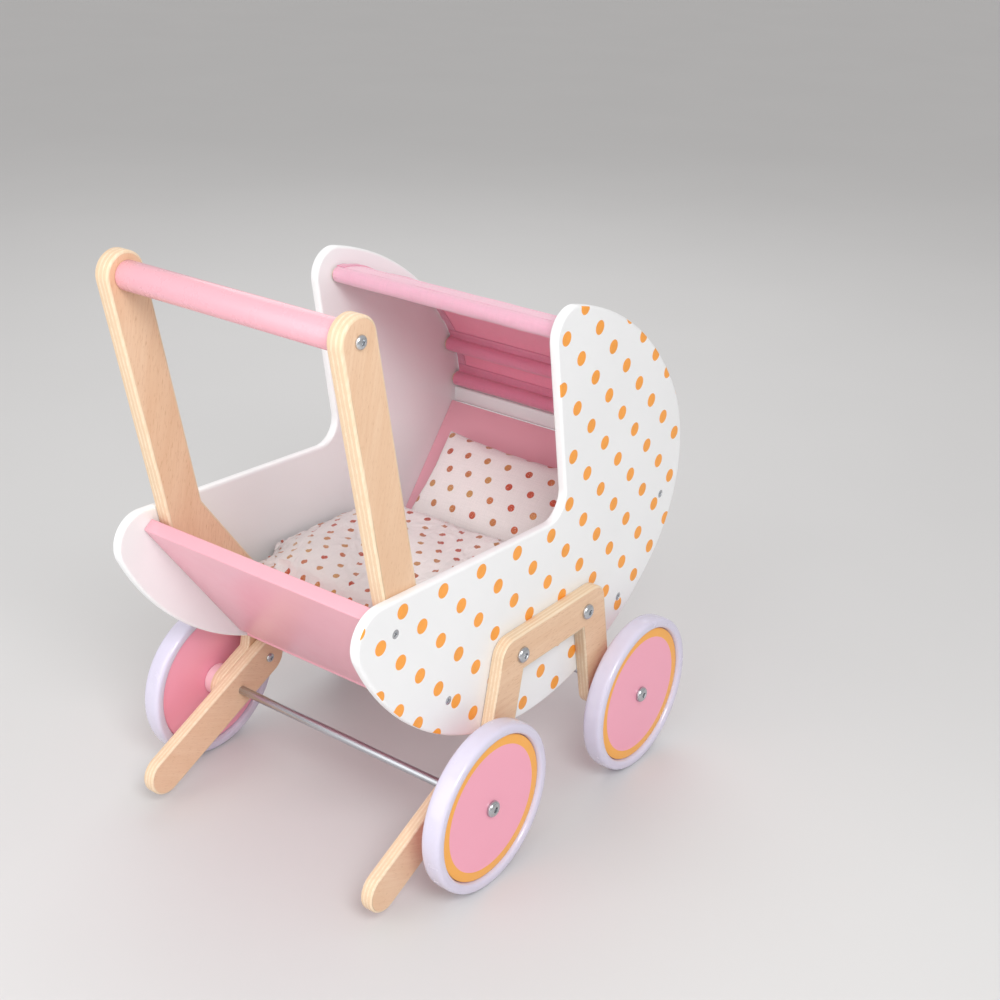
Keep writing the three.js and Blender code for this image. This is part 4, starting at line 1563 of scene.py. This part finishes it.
moved = simulateCloth(
    drapedPiece,
    {
        "quality": 6, "mass": 0.15, "tension_stiffness": 12, "compression_stiffness": 12,
        "shear_stiffness": 4, "bending_stiffness": 0.06, "air_damping": 2.0,
        "shrink_min": -cover["slack"], "vertex_group_mass": "held",
    },
    [filling], cover["frames"], 0.02,
)
coverTop = [v.co.copy() for v in draped.vertices]
bpy.data.objects.remove(drapedPiece)
bpy.data.objects.remove(filling)
print("quilt cotton settled, furthest move", round(moved, 4))


def quiltMesh():
    top = [Vector(p) for p in coverTop]
    bottom = []
    for i in range(rows + 1):
        for j in range(columns + 1):
            s, t = i / rows, 2 * j / columns - 1
            x, y = coverPlan(s, t)
            inset = 1 - 0.02 * (abs(t) > 0.98)
            bottom.append(place(x, bed["coverBase"], y * inset))
    count = len(top)

    def at(i, j):
        return i * (columns + 1) + j

    faces = list(quads) + [tuple(count + k for k in reversed(q)) for q in quads]
    border = [at(0, j) for j in range(columns + 1)] + [at(i, columns) for i in range(1, rows + 1)]
    border += [at(rows, j) for j in range(columns - 1, -1, -1)] + [
        at(i, 0) for i in range(rows - 1, 0, -1)
    ]
    for a, b in zip(border, border[1:] + border[:1]):
        faces.append((a, b, count + b, count + a))
    mesh = bpy.data.meshes.new("quilt")
    mesh.from_pydata([tuple(v) for v in top + bottom], [], faces)
    return clothFinish("quilt", mesh, np.array(coverFlat + coverFlat), bedCotton)


quilt = quiltMesh()
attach(quilt, "frame")
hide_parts("blanket")


# Pillow: two panels sewn round the edge and filled, leaning on the head board
def pillowPiece():
    across, along = 60, 36
    vertices, flat, faces = [], [], []
    index = {}

    def corner(i, j, layer):
        border = i in (0, along) or j in (0, across)
        key = (i, j, 0 if border else layer)
        if key not in index:
            u, v = 2 * i / along - 1, 2 * j / across - 1
            x = bed["pillowLength"] / 2 * u * (1 - 0.07 * (1 - v * v))
            y = bed["pillowWidth"] / 2 * v * (1 - 0.05 * (1 - u * u))
            full = ((1 - u * u) * (1 - v * v)) ** 0.42
            gather = 1 + 0.16 * noise.noise(Vector((v * 7, u * 3, 1 + layer))) * (1 - full)
            height = bed["pillowHeight"] / 2 * full * gather * (1 if layer == 0 else -1)
            index[key] = len(vertices)
            vertices.append((x, y, height))
            flat.append(((x + 200 * layer) * mm, y * mm))
        return index[key]

    for layer in (0, 1):
        for i in range(along):
            for j in range(across):
                quad = [
                    corner(i, j, layer), corner(i + 1, j, layer), corner(i + 1, j + 1, layer),
                    corner(i, j + 1, layer),
                ]
                faces.append(quad if layer == 0 else quad[::-1])
    mesh = bpy.data.meshes.new("pillowPad")
    slope = math.radians(bed["pillowSlope"])
    spot = bed["pillowSpot"]
    placed = [
        place(
            spot[0] + x * math.cos(slope) - h * math.sin(slope),
            spot[1] + x * math.sin(slope) + h * math.cos(slope), y,
        )
        for x, y, h in vertices
    ]
    mesh.from_pydata(placed, [], faces)
    return clothFinish("pillowPad", mesh, np.array(flat), bedCotton)


pillow = pillowPiece()
moved = simulateCloth(
    pillow,
    {
        "quality": 6, "mass": 0.15, "use_pressure": True, "uniform_pressure_force": 2.5,
        "tension_stiffness": 14, "compression_stiffness": 14, "bending_stiffness": 0.1,
        "shrink_min": -0.04,
    },
    [], 14, 0.006,
)
print("pillow filled, furthest move", round(moved, 4))
rounder = pillow.modifiers.new("round", "SUBSURF")
rounder.levels = rounder.render_levels = 1
settle(pillow)
smooth(pillow.data, 80)
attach(pillow, "frame")
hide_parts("pillow")

hemRow = rows - 4
hemLine = [
    Vector(coverTop[hemRow * (columns + 1) + j]) + Vector((0, 0, 0.0002)) for j in range(4, columns - 3)
]
stitches("quiltStitches", [hemLine], whiteThread)
print("bedding ready")


floorMesh = bpy.data.meshes.new("floor")
floorMesh.from_pydata([(-40, -40, 0), (40, -40, 0), (40, 40, 0), (-40, 40, 0)], [], [(0, 1, 2, 3)])
floorPaint, tree, inputs = newMaterial("floor")
wire(
    tree,
    mixColour(
        tree, grain(tree, objectCoordinates(tree), 3.0, 2), (0.68, 0.68, 0.68, 1), (0.65, 0.65, 0.65, 1),
    ),
    inputs["Base Color"],
)
inputs["Roughness"].default_value = 0.6
floor = meshPiece("floor", floorMesh, floorPaint)

print("all pieces ready")
